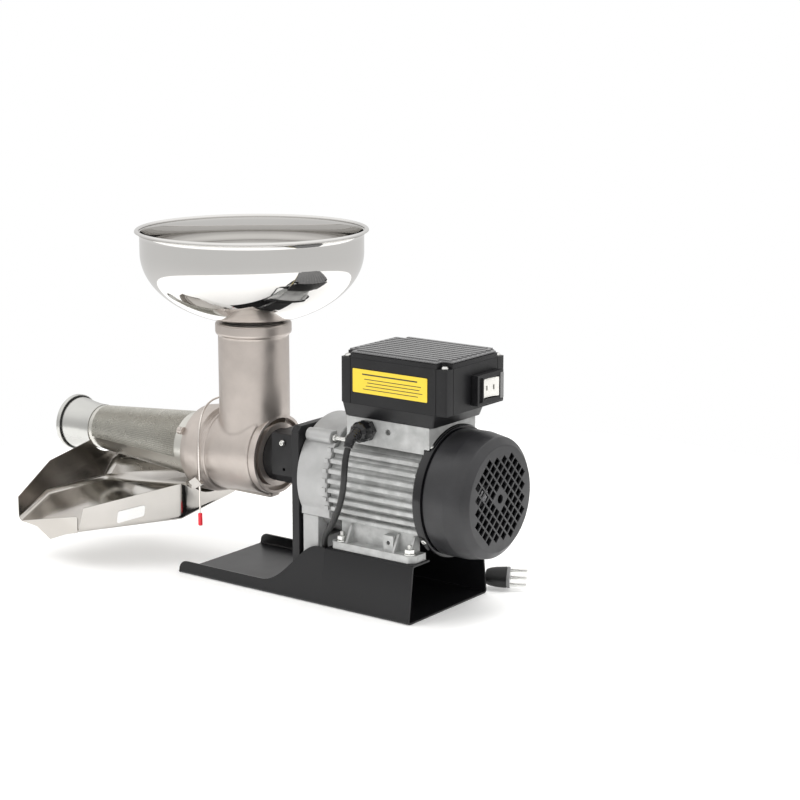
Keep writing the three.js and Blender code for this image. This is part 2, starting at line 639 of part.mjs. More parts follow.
for (const [i, y] of [-9.5, 0, 9.5].entries()) {
  const pin = turned([[0, GAP], [2, GAP], [2, 18.6], [1.2, 19.3], [0, 19.3]], 10, 'x').translate(0, y, 0);
  part(`plug_pin_${i + 1}`, plugFrame(pin), zincSteel);
}

// ---------------------------------------------------------------- press head
// Closed loft through circles given by [x, radius, height of the centre].
function loftedX(stations, sides) {
  const points = [];
  for (const [x, r, z] of stations) {
    for (const [y, dz] of circlePoints(r, sides)) points.push(new THREE.Vector3(x, y, z + dz));
  }
  return lofted(points, sides);
}

// Cast body: barrel with a front flange and a stepped rear ring, a neck for the hopper and a bottom web.
function pressBody() {
  const { x0, x1, flange, bore, rim } = HEAD;
  const front = turned([
    [0, x0], [flange - 1.5, x0], [flange, x0 + 8.5], [flange, -267], [flange - 1.5, -264.5], [47, -262],
    [47, -256], [0, -256],
  ].reverse(), 36, 'x');
  const barrel = loftedX(BARREL, 36);
  const tail = rod(TAIL.r, TAIL.x - 5, x1, 36).translate(0, 0, TAIL.z);
  const low = 160;
  const neck = turned([
    [0, low], [NECK.r, low], [NECK.r, 281.2], [NECK.collar, 282], [NECK.collar, NECK.top], [0, NECK.top],
  ], 36).translate(NECK.x, 0, 0);
  const web = block(-262, TAIL.x + 2, -9, 9, 89, 104);
  return cut(
    join(onAxis(front), barrel, tail, neck, web),
    block(x1, x1 + 9, -45, 45, low - 1, TAIL.z + TAIL.r),
    onAxis(turned([
      [0, x0 - 1], [rim, x0 - 1], [rim, -284], [bore, -284], [bore, -199], [0, -199],
    ].reverse(), 32, 'x')),
    rod(NECK.bore, low, NECK.top + 1, 32, 'z').translate(NECK.x, 0, 0),
    rod(TAIL.bore, TAIL.x, x1 + 1, 32).translate(0, 0, TAIL.z),
    ring(TAIL.groove0, TAIL.groove1, TAIL.x + 0.4, x1 + 1, 36).translate(0, 0, TAIL.z),
    onAxis(rod(12, -205, x1, 20)),
  );
}
part('press_body', pressBody(), headCasting);

// Polished bowl: rolled rim, straight wall and a rounded bottom open over the neck.
function hopper() {
  const { r, rim, top, bowl, depth, spigot, wall } = HOPPER;
  const steps = 7;
  const outer = [];
  const inner = [];
  for (let i = 0; i <= steps; i++) {
    const t = (i / steps) * 0.5 * Math.PI;
    const u = Math.max(Math.sin(t), 46 / r);
    outer.push([r * u, bowl - depth * Math.sqrt(1 - u * u)]);
    inner.push([(r - wall) * u, bowl - (depth - wall) * Math.sqrt(1 - u * u)]);
  }
  const low = outer.findLastIndex(([radius]) => radius <= 46.01);
  const profile = [
    ...outer.slice(low), [r, top - 7], [rim - 1.6, top - 6], [rim, top - 3.6], [rim - 0.6, top - 0.8],
    [rim - 2.6, top], [r - wall + 1, top - 2.2], [r - wall, top - 5], ...inner.slice(low).reverse(),
    [spigot - 1.3, NECK.top + 3], [spigot + 0.4, NECK.top + 1],
  ];
  profile.push(profile[0]);
  return turned(profile, 36);
}
part('hopper', hopper(), mirrorSteel, [NECK.x, 0, 0]);

// Short tube under the bowl that drops into the neck.
part('hopper_spigot', ring(HOPPER.spigot - HOPPER.wall, HOPPER.spigot, NECK.top - 25, NECK.top, 32, 'z'),
  mirrorSteel, [NECK.x, 0, 0]);

// Screw with a tail that enters the output shaft; the flight narrows with the sieve.
function auger() {
  const core = turned([
    [0, -156], [8, -156], [8, -201], [15, -203], [13, -292], [8.5, -455], [5, -463], [0, -463],
  ].reverse(), 12, 'x');
  const turnsTotal = 6.25;
  const steps = 64;
  const [xa, xb] = [-207, -455];
  const flight = [];
  for (let i = 0; i <= steps; i++) {
    const s = i / steps;
    const x = xa + (xb - xa) * s;
    const t = -2 * Math.PI * turnsTotal * s;
    const conical = Math.max(0, (-292 - x) / (-292 - xb));
    const tip = (x > -292 ? 34.4 : 34.4 - 12.6 * conical) * (s < 0.04 ? 0.7 + 7.5 * s : 1);
    for (const [r, dx] of [[6, 2.2], [tip, 1.2], [tip, -1.2], [6, -2.2]]) {
      flight.push(new THREE.Vector3(x + dx, r * Math.cos(t), r * Math.sin(t)));
    }
  }
  return onAxis(join(core, lofted(flight, 4)));
}
part('auger', auger(), nylon);
part('auger_seal', onAxis(ring(8.3, 11.7, -198.4, -191, 20)), rubber);

// Conical sieve with a plain rim that seats in the body's mouth.
function sieve() {
  const { x0, r0, x1, r1, wall } = SIEVE;
  return onAxis(turned([
    [r0 - wall, -286], [r0 - wall, x0 - 1], [r1 - wall, x1], [r1, x1], [r0, x0 - 1], [HEAD.rim - 0.4, x0 - 1],
    [HEAD.rim - 0.4, -286], [r0 - wall, -286],
  ], 36, 'x'));
}
part('sieve', sieve(), satinSteel);

// Flared end of the sieve, a dark seal and the rolled end ring.
const flareX = SIEVE.x1 - GAP;
part('sieve_flare', onAxis(turned([
  [25.3, flareX], [27, flareX], [27.4, flareX - 12], [29, flareX - 26], [COLLAR.r, flareX - 38],
  [COLLAR.r, COLLAR.x1 + 1], [COLLAR.r - 1.4, COLLAR.x1 + 1], [COLLAR.r - 1.4, flareX - 38],
  [27.5, flareX - 26], [25.8, flareX - 12], [25.3, flareX],
], 28, 'x')), satinSteel);
part('sieve_seal', onAxis(ring(COLLAR.r + GAP, 33, COLLAR.x1 + 1, COLLAR.x1 + 6, 28)), rubber);
part('sieve_end_ring', onAxis(turned([
  [33.3, COLLAR.x1 + 6], [COLLAR.rim, COLLAR.x1 + 6], [COLLAR.rim, COLLAR.x1], [COLLAR.r - 1, COLLAR.x1],
  [COLLAR.r - 1, COLLAR.x1 + 0.7], [33.3, COLLAR.x1 + 0.7], [33.3, COLLAR.x1 + 6],
], 28, 'x')), satinSteel);

// ---------------------------------------------------------------- chute and its bail
// Height of the chute's right edge, which falls towards the outlet at its front.
function floorZ(y) {
  return CHUTE.outletZ + 0.135 * (y - CHUTE.outlet);
}
// Left wall's X at a given Y: the wall opens out slightly towards the outlet.
function leftX(y) {
  return -471 + 0.102 * (y - CHUTE.outlet);
}
// Points of an arc about the motor axis, on a wall whose X is given for each Y.
function arc(x, r, from, to, count) {
  return Array.from({ length: count }, (_, i) => {
    const t = THREE.MathUtils.degToRad(from + ((to - from) * i) / (count - 1));
    const y = r * Math.cos(t);
    return [x(y), y, AXIS_Z + r * Math.sin(t)];
  });
}

// Folded trough: a creased floor that falls to the right, four walls and a dam across the outlet.
function chute() {
  const { sheet, outlet, outletX, outletZ, end, corner, back } = CHUTE;
  const onLeft = (y, z) => [leftX(y), y, z];
  const frontLeft = onLeft(outlet, outletZ);
  const frontRight = [outletX, outlet, outletZ];
  const rearRight = [end, corner, floorZ(corner)];
  const rearBack = [end, back, floorZ(back)];
  const crease = onLeft(-97, 70);
  const backLeft = onLeft(-6.5, 70.8);
  const fold = onLeft(8, 92);
  const rimBack = [end, back, 101];
  const rimLeft = onLeft(back, 112);
  const rimRight = [end, corner, 101];
  const left = [
    frontLeft, crease, backLeft, fold, rimLeft, ...arc(leftX, 29.6, -22, -158, 9), onLeft(-91, 110),
    onLeft(outlet, 74),
  ];
  const right = [frontRight, rearRight, rimRight, [-367.2, -135, 75.3]];
  const rear = [rearRight, rearBack, rimBack, ...arc(() => end, 55, -40, -140, 9), rimRight];
  const dam = [
    [-462, 45.4], [-440, 43], [-418, 31], [-392, 41], [-376, 45.6], [-372, 46], [-371, 67], [-460, 46.4],
  ].map(([x, z]) => [x, outlet, z]);
  const plates = [
    [frontLeft, frontRight, crease], [crease, frontRight, rearRight], [crease, rearRight, backLeft],
    [backLeft, rearRight, rearBack], [backLeft, rearBack, rimBack], [backLeft, rimBack, fold],
    [fold, rimBack, rimLeft], left, right, rear, dam,
  ].map((corners) => sheetPlate(corners, sheet));
  return cut(join(...plates, ...chuteEars()), ...[-1, 1].map((s) => (
    rod(EAR.hole, 90, 120, 12, 'z').translate(BAIL.leg, s * BAIL.r, 0))));
}

// Ears beside the head, each a pierced diamond on a slanting tab.
function chuteEars() {
  const { end } = CHUTE;
  return [-1, 1].flatMap((s) => {
    const y = s * BAIL.r;
    const diamond = polygon([
      [EAR.x - EAR.halfX, EAR.z], [EAR.x, EAR.z - EAR.halfZ],
      [EAR.x + EAR.halfX, EAR.z], [EAR.x, EAR.z + EAR.halfZ]]);
    const tab = [[end - 0.5, s * 45, 94], [-273, s * 53, 98], [-273, s * 53, 105], [end - 0.5, s * 45, 101]];
    return [alongY(diamond, y - EAR.thick / 2, y + EAR.thick / 2), sheetPlate(tab, 2)];
  });
}
part('chute', chute(), satinSteel);

function chuteSticker() {
  const { sheet, outlet, outletX, end, corner } = CHUTE;
  const run = [end - outletX, corner - outlet];
  const length = Math.hypot(...run);
  const off = sheet / 2 + GAP + 0.15;
  const onWall = (t, z) => [
    outletX + run[0] * t + (run[1] / length) * off, outlet + run[1] * t - (run[0] / length) * off, z];
  return sheetPlate([onWall(0.376, 58), onWall(0.638, 62), onWall(0.638, 75), onWall(0.376, 72)], 0.3);
}
part('chute_sticker', chuteSticker(), whitePlastic);

// Spring wire over the body; its legs pass through the chute's ears and end in soft tips.
function bailPoints() {
  const { r, leg, side, sweep, rise, power } = BAIL;
  const [near, far] = BAIL_LEGS;
  const points = [[leg, -r, near.end], [leg, -r, 92], [leg, -r, 112]];
  for (let a = 180; a >= 0; a -= 15) {
    const t = THREE.MathUtils.degToRad(a);
    const [c, u] = [Math.cos(t), Math.max(Math.sin(t), 0)];
    points.push([side - sweep * u * u, r * Math.sign(c) * Math.abs(c) ** power, AXIS_Z + rise * u ** power]);
  }
  points.push([leg, r, 112], [leg, r, 97], [leg, r, far.end]);
  return points;
}
part('bail_wire', swept(bailPoints(), BAIL.wire, 44, 6), zincSteel);
for (const [i, { end, tip }] of BAIL_LEGS.entries()) {
  const z = end - GAP;
  part(`bail_tip_${i + 1}`, rod(2.6, z - tip, z, 12, 'z'), redPlastic, [BAIL.leg, (2 * i - 1) * BAIL.r, 0]);
}

export default group;
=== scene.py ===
"""Motorised food mill: the finished surfaces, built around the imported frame.

Lengths in the building functions are millimetres and are scaled to metres as vertices are made.
"""

import json
import math

import bmesh
import bpy
from mathutils import Matrix, Vector


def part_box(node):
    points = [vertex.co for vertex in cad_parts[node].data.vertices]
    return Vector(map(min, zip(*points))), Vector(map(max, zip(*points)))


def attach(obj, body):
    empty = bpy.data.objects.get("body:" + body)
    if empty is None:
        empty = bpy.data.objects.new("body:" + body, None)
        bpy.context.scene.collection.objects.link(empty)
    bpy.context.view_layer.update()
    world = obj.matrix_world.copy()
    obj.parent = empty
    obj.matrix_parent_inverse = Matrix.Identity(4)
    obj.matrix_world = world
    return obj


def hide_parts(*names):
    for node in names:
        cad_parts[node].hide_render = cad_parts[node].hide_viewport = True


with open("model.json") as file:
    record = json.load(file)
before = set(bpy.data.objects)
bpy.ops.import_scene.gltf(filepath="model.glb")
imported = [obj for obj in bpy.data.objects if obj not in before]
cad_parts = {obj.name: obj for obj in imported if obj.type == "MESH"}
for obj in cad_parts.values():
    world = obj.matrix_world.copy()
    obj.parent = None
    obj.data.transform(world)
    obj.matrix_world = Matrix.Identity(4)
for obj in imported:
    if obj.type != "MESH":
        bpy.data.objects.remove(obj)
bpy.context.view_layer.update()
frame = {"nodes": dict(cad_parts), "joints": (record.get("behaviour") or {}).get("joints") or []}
JOINTS = {joint["name"]: joint for joint in frame["joints"]}

MM = 0.001
AXIS_Z = JOINTS["rotor_spin"]["pos_m"][2] / MM
NECK_X = -218.5
TAIL_Z = 140.9
LEAD_DIAMETER = 7.0


def span(node):
    """The node's box at rest as (x0, x1, y0, y1, z0, z1) in millimetres."""
    low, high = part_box(node)
    return tuple(value / MM for pair in zip(low, high) for value in pair)


def middle(node, z=0.0):
    """The middle of the node's box seen from above, at a height in millimetres."""
    x0, x1, y0, y1, _, _ = span(node)
    return (x0 + x1) / 2, (y0 + y1) / 2, z


# ------------------------------------------------------------------ camera, light and floor

def add_camera():
    data = bpy.data.cameras.new("camera")
    data.lens = 92.32
    data.sensor_width = 36.0
    data.clip_end = 300.0
    camera = bpy.data.objects.new("camera", data)
    camera.location = (1.3021, -1.7705, 0.6994)
    aim = Vector((-0.0085, 0.0, 0.2269)) - camera.location
    camera.rotation_euler = aim.to_track_quat("-Z", "Y").to_euler()
    bpy.context.scene.collection.objects.link(camera)
    bpy.context.scene.camera = camera


def add_softbox(name, location, target, size, power):
    data = bpy.data.lights.new(name, "AREA")
    data.shape = "RECTANGLE"
    data.size, data.size_y = size
    data.energy = power
    light = bpy.data.objects.new(name, data)
    light.location = location
    light.visible_glossy = False
    aim = Vector(target) - light.location
    light.rotation_euler = aim.to_track_quat("-Z", "Y").to_euler()
    bpy.context.scene.collection.objects.link(light)


def add_studio():
    add_softbox("key", (-1.5, -1.6, 2.1), (-0.1, 0, 0.2), (1.6, 1.2), 26)
    add_softbox("fill", (2.2, -0.6, 1.3), (0.0, 0, 0.15), (0.9, 1.6), 12)
    add_softbox("top", (0.1, 0.5, 2.4), (-0.1, 0, 0.2), (1.8, 1.2), 22)
    world = bpy.data.worlds.new("studio")
    world.use_nodes = True
    nodes, links = world.node_tree.nodes, world.node_tree.links
    lit = nodes["Background"]
    coords = nodes.new("ShaderNodeTexCoord")
    split = nodes.new("ShaderNodeSeparateXYZ")
    ramp = nodes.new("ShaderNodeValToRGB")
    stops = [(0.0, 1.0), (0.24, 0.90), (0.34, 0.82), (0.52, 0.76), (0.66, 0.92), (0.78, 1.2), (1.0, 1.3)]
    scale = nodes.new("ShaderNodeMapRange")
    scale.inputs["From Min"].default_value = -1.0
    while len(ramp.color_ramp.elements) < len(stops):
        ramp.color_ramp.elements.new(0.5)
    for element, (position, value) in zip(ramp.color_ramp.elements, stops):
        element.position = position
        element.color = (value, value * 0.993, value * 0.982, 1.0)
    links.new(coords.outputs["Generated"], split.inputs[0])
    links.new(split.outputs["Z"], scale.inputs["Value"])
    links.new(scale.outputs[0], ramp.inputs[0])
    links.new(ramp.outputs[0], lit.inputs["Color"])
    lit.inputs["Strength"].default_value = 0.95
    backdrop = nodes.new("ShaderNodeBackground")
    backdrop.inputs["Color"].default_value = (1.0, 1.0, 1.0, 1.0)
    path = nodes.new("ShaderNodeLightPath")
    choose = nodes.new("ShaderNodeMixShader")
    links.new(path.outputs["Is Camera Ray"], choose.inputs[0])
    links.new(lit.outputs[0], choose.inputs[1])
    links.new(backdrop.outputs[0], choose.inputs[2])
    links.new(choose.outputs[0], nodes["World Output"].inputs["Surface"])
    bpy.context.scene.world = world
    bpy.context.scene.view_settings.view_transform = "Standard"


def add_floor():
    bm = bmesh.new()
    bmesh.ops.create_circle(bm, cap_ends=True, segments=96, radius=0.85)
    mesh = bpy.data.meshes.new("studio_floor")
    bm.to_mesh(mesh)
    floor = bpy.data.objects.new("studio_floor", mesh)
    floor.location = (-0.1, 0, -0.0003)
    bpy.context.scene.collection.objects.link(floor)
    paint = surface("floor_paint", (0.88, 0.88, 0.875), 0.75, mottle=0.01)
    shader = paint.node_tree.nodes["Principled BSDF"]
    shader.inputs["Emission Color"].default_value = (1.0, 1.0, 1.0, 1.0)
    shader.inputs["Emission Strength"].default_value = 0.14
    mesh.materials.append(paint)


# ------------------------------------------------------------------ materials

def surface(name, color, roughness, metallic=0.0, mottle=0.08, mottle_scale=40.0, grain=0.0,
            grain_scale=900.0, spread=0.12, stretch=(1, 1, 1), specular=0.5, bump_depth=0.0004,
            patch=0.0, patch_scale=9.0, patch_color=None):
    """A painted, cast, moulded or rolled surface: mottled colour, uneven gloss and a fine relief."""
    material = bpy.data.materials.new(name)
    material.use_nodes = True
    nodes, links = material.node_tree.nodes, material.node_tree.links
    shader = nodes["Principled BSDF"]
    shader.inputs["Metallic"].default_value = metallic
    shader.inputs["Specular IOR Level"].default_value = specular
    coords = nodes.new("ShaderNodeTexCoord")
    mapping = nodes.new("ShaderNodeMapping")
    mapping.inputs["Scale"].default_value = stretch
    links.new(coords.outputs["Object"], mapping.inputs["Vector"])

    def noise(scale, detail):
        texture = nodes.new("ShaderNodeTexNoise")
        texture.inputs["Scale"].default_value = scale
        texture.inputs["Detail"].default_value = detail
        links.new(mapping.outputs[0], texture.inputs["Vector"])
        return texture.outputs["Fac"]

    def ranged(value, low, high, start=0.3, end=0.7):
        node = nodes.new("ShaderNodeMapRange")
        node.inputs["From Min"].default_value = start
        node.inputs["From Max"].default_value = end
        node.inputs["To Min"].default_value = low
        node.inputs["To Max"].default_value = high
        links.new(value, node.inputs["Value"])
        return node.outputs[0]

    def mixed(factor, a, b):
        node = nodes.new("ShaderNodeMix")
        node.data_type = "RGBA"
        links.new(factor, node.inputs["Factor"])
        for socket, value in ((node.inputs["A"], a), (node.inputs["B"], b)):
            if isinstance(value, tuple):
                socket.default_value = (*value, 1.0)
            else:
                links.new(value, socket)
        return node.outputs["Result"]

    dark = tuple(c * (1 - mottle) for c in color)
    light = tuple(min(1.0, c * (1 + mottle)) for c in color)
    tone = mixed(ranged(noise(mottle_scale, 6), 0, 1), dark, light)
    if patch:
        tone = mixed(ranged(noise(patch_scale, 3), 0, patch, 0.45, 0.62), tone, patch_color)
    links.new(tone, shader.inputs["Base Color"])
    gloss = ranged(noise(mottle_scale * 1.7, 5), roughness * (1 - spread), roughness * (1 + spread))
    links.new(gloss, shader.inputs["Roughness"])
    if grain:
        bump = nodes.new("ShaderNodeBump")
        bump.inputs["Strength"].default_value = grain
        bump.inputs["Distance"].default_value = bump_depth
        links.new(noise(grain_scale, 4), bump.inputs["Height"])
        links.new(bump.outputs[0], shader.inputs["Normal"])
    return material


enamel = surface("black_enamel", (0.008, 0.008, 0.009), 0.33, mottle=0.06, mottle_scale=14, grain=0.035,
                 spread=0.07, specular=0.33, bump_depth=0.0002)
plate_paint = surface("plate_paint", (0.011, 0.011, 0.012), 0.42, specular=0.4, mottle=0.1, grain=0.08,
                      bump_depth=0.0002)
box_plastic = surface("box_plastic", (0.008, 0.008, 0.009), 0.36, specular=0.38, mottle=0.25, grain=0.22,
                      grain_scale=1500, bump_depth=0.0002)
cowl_plastic = surface("cowl_plastic", (0.022, 0.022, 0.024), 0.38, mottle=0.2, grain=0.15, grain_scale=1300,
                       bump_depth=0.0002, spread=0.2)
gloss_black = surface("gloss_black", (0.006, 0.006, 0.007), 0.14, mottle=0.3, grain=0.05, grain_scale=500)
# Lid plastic: its grey is raised well above the box's black to paint in the highlights along the ribs.
rib_plastic_painted_highlight = surface("rib_plastic_painted_highlight", (0.13, 0.13, 0.132), 0.25, mottle=0.06, grain=0.04, grain_scale=1500,
                      bump_depth=0.0001)
cast_grey = surface("cast_grey", (0.52, 0.525, 0.52), 0.52, metallic=0.55, mottle=0.13, mottle_scale=85,
                    grain=0.5, grain_scale=330, patch=0.5, patch_scale=60, patch_color=(0.34, 0.345, 0.34))
cast_smooth = surface("cast_smooth", (0.45, 0.452, 0.45), 0.46, metallic=0.5, mottle=0.07, mottle_scale=55,
                      grain=0.25, grain_scale=420)
head_alloy = surface("head_alloy", (0.53, 0.48, 0.445), 0.38, metallic=0.85, mottle=0.06, mottle_scale=45,
                     grain=0.16, grain_scale=520, spread=0.18)
head_turned = surface("head_turned", (0.57, 0.52, 0.48), 0.30, metallic=0.9, mottle=0.06, mottle_scale=60,
                      grain=0.12, grain_scale=700, stretch=(6, 1, 1))
mirror = surface("mirror_steel", (0.70, 0.69, 0.675), 0.035, metallic=1.0, mottle=0.015, mottle_scale=12,
                 grain=0.02, grain_scale=25, spread=0.3)
sheet_steel = surface("sheet_steel", (0.53, 0.51, 0.485), 0.15, metallic=1.0, mottle=0.1, mottle_scale=14,
                      grain=0.15, grain_scale=9, spread=0.35, stretch=(1, 0.5, 1), bump_depth=0.003,
                      patch=0.4, patch_scale=11, patch_color=(0.40, 0.37, 0.335))
sieve_steel = surface("sieve_steel", (0.61, 0.60, 0.56), 0.30, metallic=1.0, mottle=0.05, mottle_scale=60,
                      grain=0.08, grain_scale=500, spread=0.15)
flare_steel = surface("flare_steel", (0.56, 0.56, 0.54), 0.26, metallic=1.0, mottle=0.05, mottle_scale=40,
                      grain=0.06, grain_scale=200, stretch=(0.2, 1, 1))
hole_dark = surface("hole_shadow", (0.21, 0.208, 0.19), 0.55, metallic=0.4, mottle=0.15)
zinc = surface("zinc_plate", (0.74, 0.74, 0.72), 0.24, metallic=1.0, mottle_scale=160, grain=0.08)
wire_steel = surface("wire_steel", (0.78, 0.74, 0.70), 0.20, metallic=1.0, mottle=0.05, mottle_scale=90,
                     grain=0.05)
ground_steel = surface("ground_steel", (0.42, 0.42, 0.43), 0.32, metallic=1.0, mottle=0.1, mottle_scale=120,
                       grain=0.1, stretch=(8, 1, 1))
winding = surface("winding", (0.36, 0.19, 0.09), 0.4, metallic=0.3, mottle=0.25, mottle_scale=120, grain=0.4)
rubber = surface("black_rubber", (0.008, 0.008, 0.008), 0.36, mottle=0.25, grain=0.12, grain_scale=500)
red_cap = surface("red_cap", (0.80, 0.02, 0.04), 0.32, mottle=0.1, grain=0.08)
yellow_film = surface("yellow_film", (0.84, 0.62, 0.05), 0.42, mottle=0.025, mottle_scale=70, grain=0.05)
ink = surface("printed_ink", (0.05, 0.045, 0.03), 0.5, mottle=0.3, mottle_scale=300)
paper = surface("white_film", (0.86, 0.86, 0.85), 0.4, mottle=0.02, mottle_scale=60, grain=0.04)
ivory = surface("ivory_plastic", (0.83, 0.82, 0.78), 0.22, mottle=0.02, mottle_scale=60, grain=0.03)
nylon = surface("nylon", (0.76, 0.73, 0.64), 0.45, mottle=0.05, mottle_scale=50, grain=0.15, grain_scale=500)
clear_grey = surface("clear_grey", (0.20, 0.20, 0.20), 0.14, mottle=0.1, mottle_scale=80, grain=0.03)


# ------------------------------------------------------------------ mesh building

def rounded(points, closed=True, steps=4):
    """Rounds each corner whose point carries a third value, its radius, with an arc."""
    result = []
    count = len(points)
    for i, point in enumerate(points):
        corner = Vector(point[:2])
        radius = point[2] if len(point) > 2 else 0
        if not radius or (not closed and i in (0, count - 1)):
            result.append(tuple(corner))
            continue
        before = Vector(points[i - 1][:2]) - corner
        after = Vector(points[(i + 1) % count][:2]) - corner
        half = before.angle(after) / 2
        reach = min(radius / math.tan(half), 0.48 * before.length, 0.48 * after.length)
        bisector = (before.normalized() + after.normalized()).normalized()
        centre = corner + bisector * (reach / math.cos(half))
        a = corner + before.normalized() * reach - centre
        b = corner + after.normalized() * reach - centre
        sweep = a.angle(b)
        for k in range(steps + 1):
            t = k / steps
            arm = (a * math.sin((1 - t) * sweep) + b * math.sin(t * sweep)) / math.sin(sweep)
            result.append(tuple(centre + arm))
    return result


def vertices(bm, points):
    """Makes a vertex at each point, which is in millimetres."""
    return [bm.verts.new([c * MM for c in point]) for point in points]


def turns(count):
    """The angles that divide a full turn evenly."""
    return [2 * math.pi * k / count for k in range(count)]


def turned_point(axis, radius, height, angle, centre):
    u, v = radius * math.cos(angle), radius * math.sin(angle)
    local = {"x": (height, u, v), "y": (u, height, v), "z": (u, v, height)}[axis]
    return [c + d for c, d in zip(centre, local)]


def turned_ring(bm, axis, radius, height, centre, segments):
    return vertices(bm, [turned_point(axis, radius, height, angle, centre) for angle in turns(segments)])


def stitch(bm, rings, index=0, caps=True):
    """Joins each ring of vertices to the next with a band of faces, and closes both ends."""
    for a, b in zip(rings, rings[1:]):
        for k in range(len(a)):
            n = (k + 1) % len(a)
            corners = list(dict.fromkeys([a[k], a[n], b[n], b[k]]))
            if len(corners) > 2:
                bm.faces.new(corners).material_index = index
    if caps:
        bm.faces.new(rings[0]).material_index = index
        bm.faces.new(list(reversed(rings[-1]))).material_index = index


def lathe(bm, profile, axis="x", centre=None, segments=96, steps=4):
    """Turns a (radius, height) outline about an axis. It ends on the axis or closes on itself."""
    centre = centre or (0, 0, AXIS_Z)
    closed = profile[0][0] > 0.01 and profile[-1][0] > 0.01
    outline = rounded(profile, closed, steps)
    rings = []
    for radius, height in outline:
        if radius < 0.01:
            rings.append(vertices(bm, [turned_point(axis, 0, height, 0, centre)]) * segments)
        else:
            rings.append(turned_ring(bm, axis, radius, height, centre, segments))
    stitch(bm, rings + rings[:1] if closed else rings, caps=False)


def rod(bm, radius, start, end, axis="x", centre=None, segments=32):
    """Plain round bar between two heights along an axis; mostly a cutter for a bore."""
    lathe(bm, [(0, start), (radius, start), (radius, end), (0, end)], axis, centre, segments)


def prism(bm, outline, axis, start, end, index=0):
    """Extrudes an outline, which is (y, z), (x, z) or (x, y), along an axis. Gives its vertices."""
    place = {"x": lambda u, v, w: (w, u, v), "y": lambda u, v, w: (u, w, v), "z": lambda u, v, w: (u, v, w)}
    points = rounded(outline)
    loops = [vertices(bm, [place[axis](u, v, w) for u, v in points]) for w in (start, end)]
    stitch(bm, loops, index)
    return loops[0] + loops[1]


def rectangle(x0, x1, y0, y1, *radius):
    return [(x, y, *radius) for x, y in ((x0, y0), (x1, y0), (x1, y1), (x0, y1))]


def block(bm, x0, x1, y0, y1, z0, z1):
    prism(bm, rectangle(x0, x1, y0, y1), "z", z0, z1)


def side_block(bm, side, x0, x1, near, far, z0, z1):
    """A block between two distances from the middle plane, on one side of it."""
    block(bm, x0, x1, *sorted((side * near, side * far)), z0, z1)


def round_ring(bm, centre, side, other, radius, sides):
    """Vertices of a circle about a point, in the plane of two unit vectors."""
    return vertices(bm, [centre + (side * math.cos(angle) + other * math.sin(angle)) * radius
                         for angle in turns(sides)])


def direction(path, i):
    return (path[min(i + 1, len(path) - 1)] - path[max(i - 1, 0)]).normalized()


def tube(bm, points, radius, sides=12, index=0):
    """Round rod along a list of points in millimetres, closed flat at both ends."""
    path = [Vector(p) for p in points]
    rings = []
    side = None
    for i, p in enumerate(path):
        along = direction(path, i)
        if side is None:
            side = along.orthogonal().normalized()
        side = (side - along * side.dot(along)).normalized()
        rings.append(round_ring(bm, p, side, along.cross(side), radius, sides))
    stitch(bm, rings, index)


def smooth_path(points, per_span=8):
    """Catmull-Rom curve through the points, which are in millimetres."""
    path = [Vector(p) for p in points]
    path = [path[0] * 2 - path[1], *path, path[-1] * 2 - path[-2]]
    result = []
    for i in range(1, len(path) - 2):
        a, b, c, d = path[i - 1:i + 3]
        for k in range(per_span):
            t = k / per_span
            result.append(0.5 * ((2 * b) + (c - a) * t + (2 * a - 5 * b + 4 * c - d) * t ** 2
                                 + (3 * b - a - 3 * c + d) * t ** 3))
    result.append(path[-2])
    return result


def make_object(name, bm, recalculate=True):
    if recalculate:
        bmesh.ops.recalc_face_normals(bm, faces=bm.faces)
    mesh = bpy.data.meshes.new(name)
    bm.to_mesh(mesh)
    bm.free()
    obj = bpy.data.objects.new(name, mesh)
    bpy.context.scene.collection.objects.link(obj)
    return obj


def bake_modifiers(obj):
    """Puts what the object's modifiers make into its mesh."""
    depsgraph = bpy.context.evaluated_depsgraph_get()
    mesh = bpy.data.meshes.new_from_object(obj.evaluated_get(depsgraph))
    obj.modifiers.clear()
    obj.data = mesh


def thicken(obj, thickness, offset, even=False):
    """Gives a sheet its thickness, to one side of the drawn surface or about it."""
    modifier = obj.modifiers.new("sheet", "SOLIDIFY")
    modifier.thickness = thickness * MM
    modifier.offset = offset
    modifier.use_even_offset = even
    bake_modifiers(obj)


def carve(obj, bm, operation="DIFFERENCE", merge=False):
    """Cuts a tool made in bm from the object, or joins it. merge also unites the object's own solids."""
    tool = make_object("tool", bm)
    modifier = obj.modifiers.new("carve", "BOOLEAN")
    modifier.operation = operation
    modifier.solver = "EXACT"
    modifier.use_self = merge
    modifier.object = tool
    bake_modifiers(obj)
    bpy.data.objects.remove(tool)


def piece(name, source, materials, body, stands_for=(), bevel=0.0, segments=2, angle=35):
    """Finishes a mesh or bmesh: materials, smooth shading, rounded edges, its body and CAD node."""
    obj = make_object(name, source) if isinstance(source, bmesh.types.BMesh) else source
    obj.name = name
    for material in materials if isinstance(materials, (list, tuple)) else [materials]:
        obj.data.materials.append(material)
    for polygon in obj.data.polygons:
        polygon.use_smooth = True
    if bevel:
        modifier = obj.modifiers.new("rounded_edges", "BEVEL")
        modifier.width = bevel * MM
        modifier.segments = segments
        modifier.limit_method = "ANGLE"
        modifier.angle_limit = math.radians(angle)
        modifier.harden_normals = True
        modifier.use_clamp_overlap = True
    else:
        obj.data.set_sharp_from_angle(angle=math.radians(angle))
    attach(obj, body)
    nodes = [stands_for] if isinstance(stands_for, str) else list(stands_for)
    if nodes:
        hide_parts(*nodes)
    return obj


def keep(node, material):
    """A CAD node that stays as it is, with a finished material."""
    slots = frame["nodes"][node].data.materials
    slots.clear()
    slots.append(material)


# ------------------------------------------------------------------ mains lead, coil and plug

COIL_CENTRE = (-60.0, 132.6)
COIL_Z = (5.0, 12.1)
COIL_TURNS = 5
LEAD_LINE_Y = 80.1

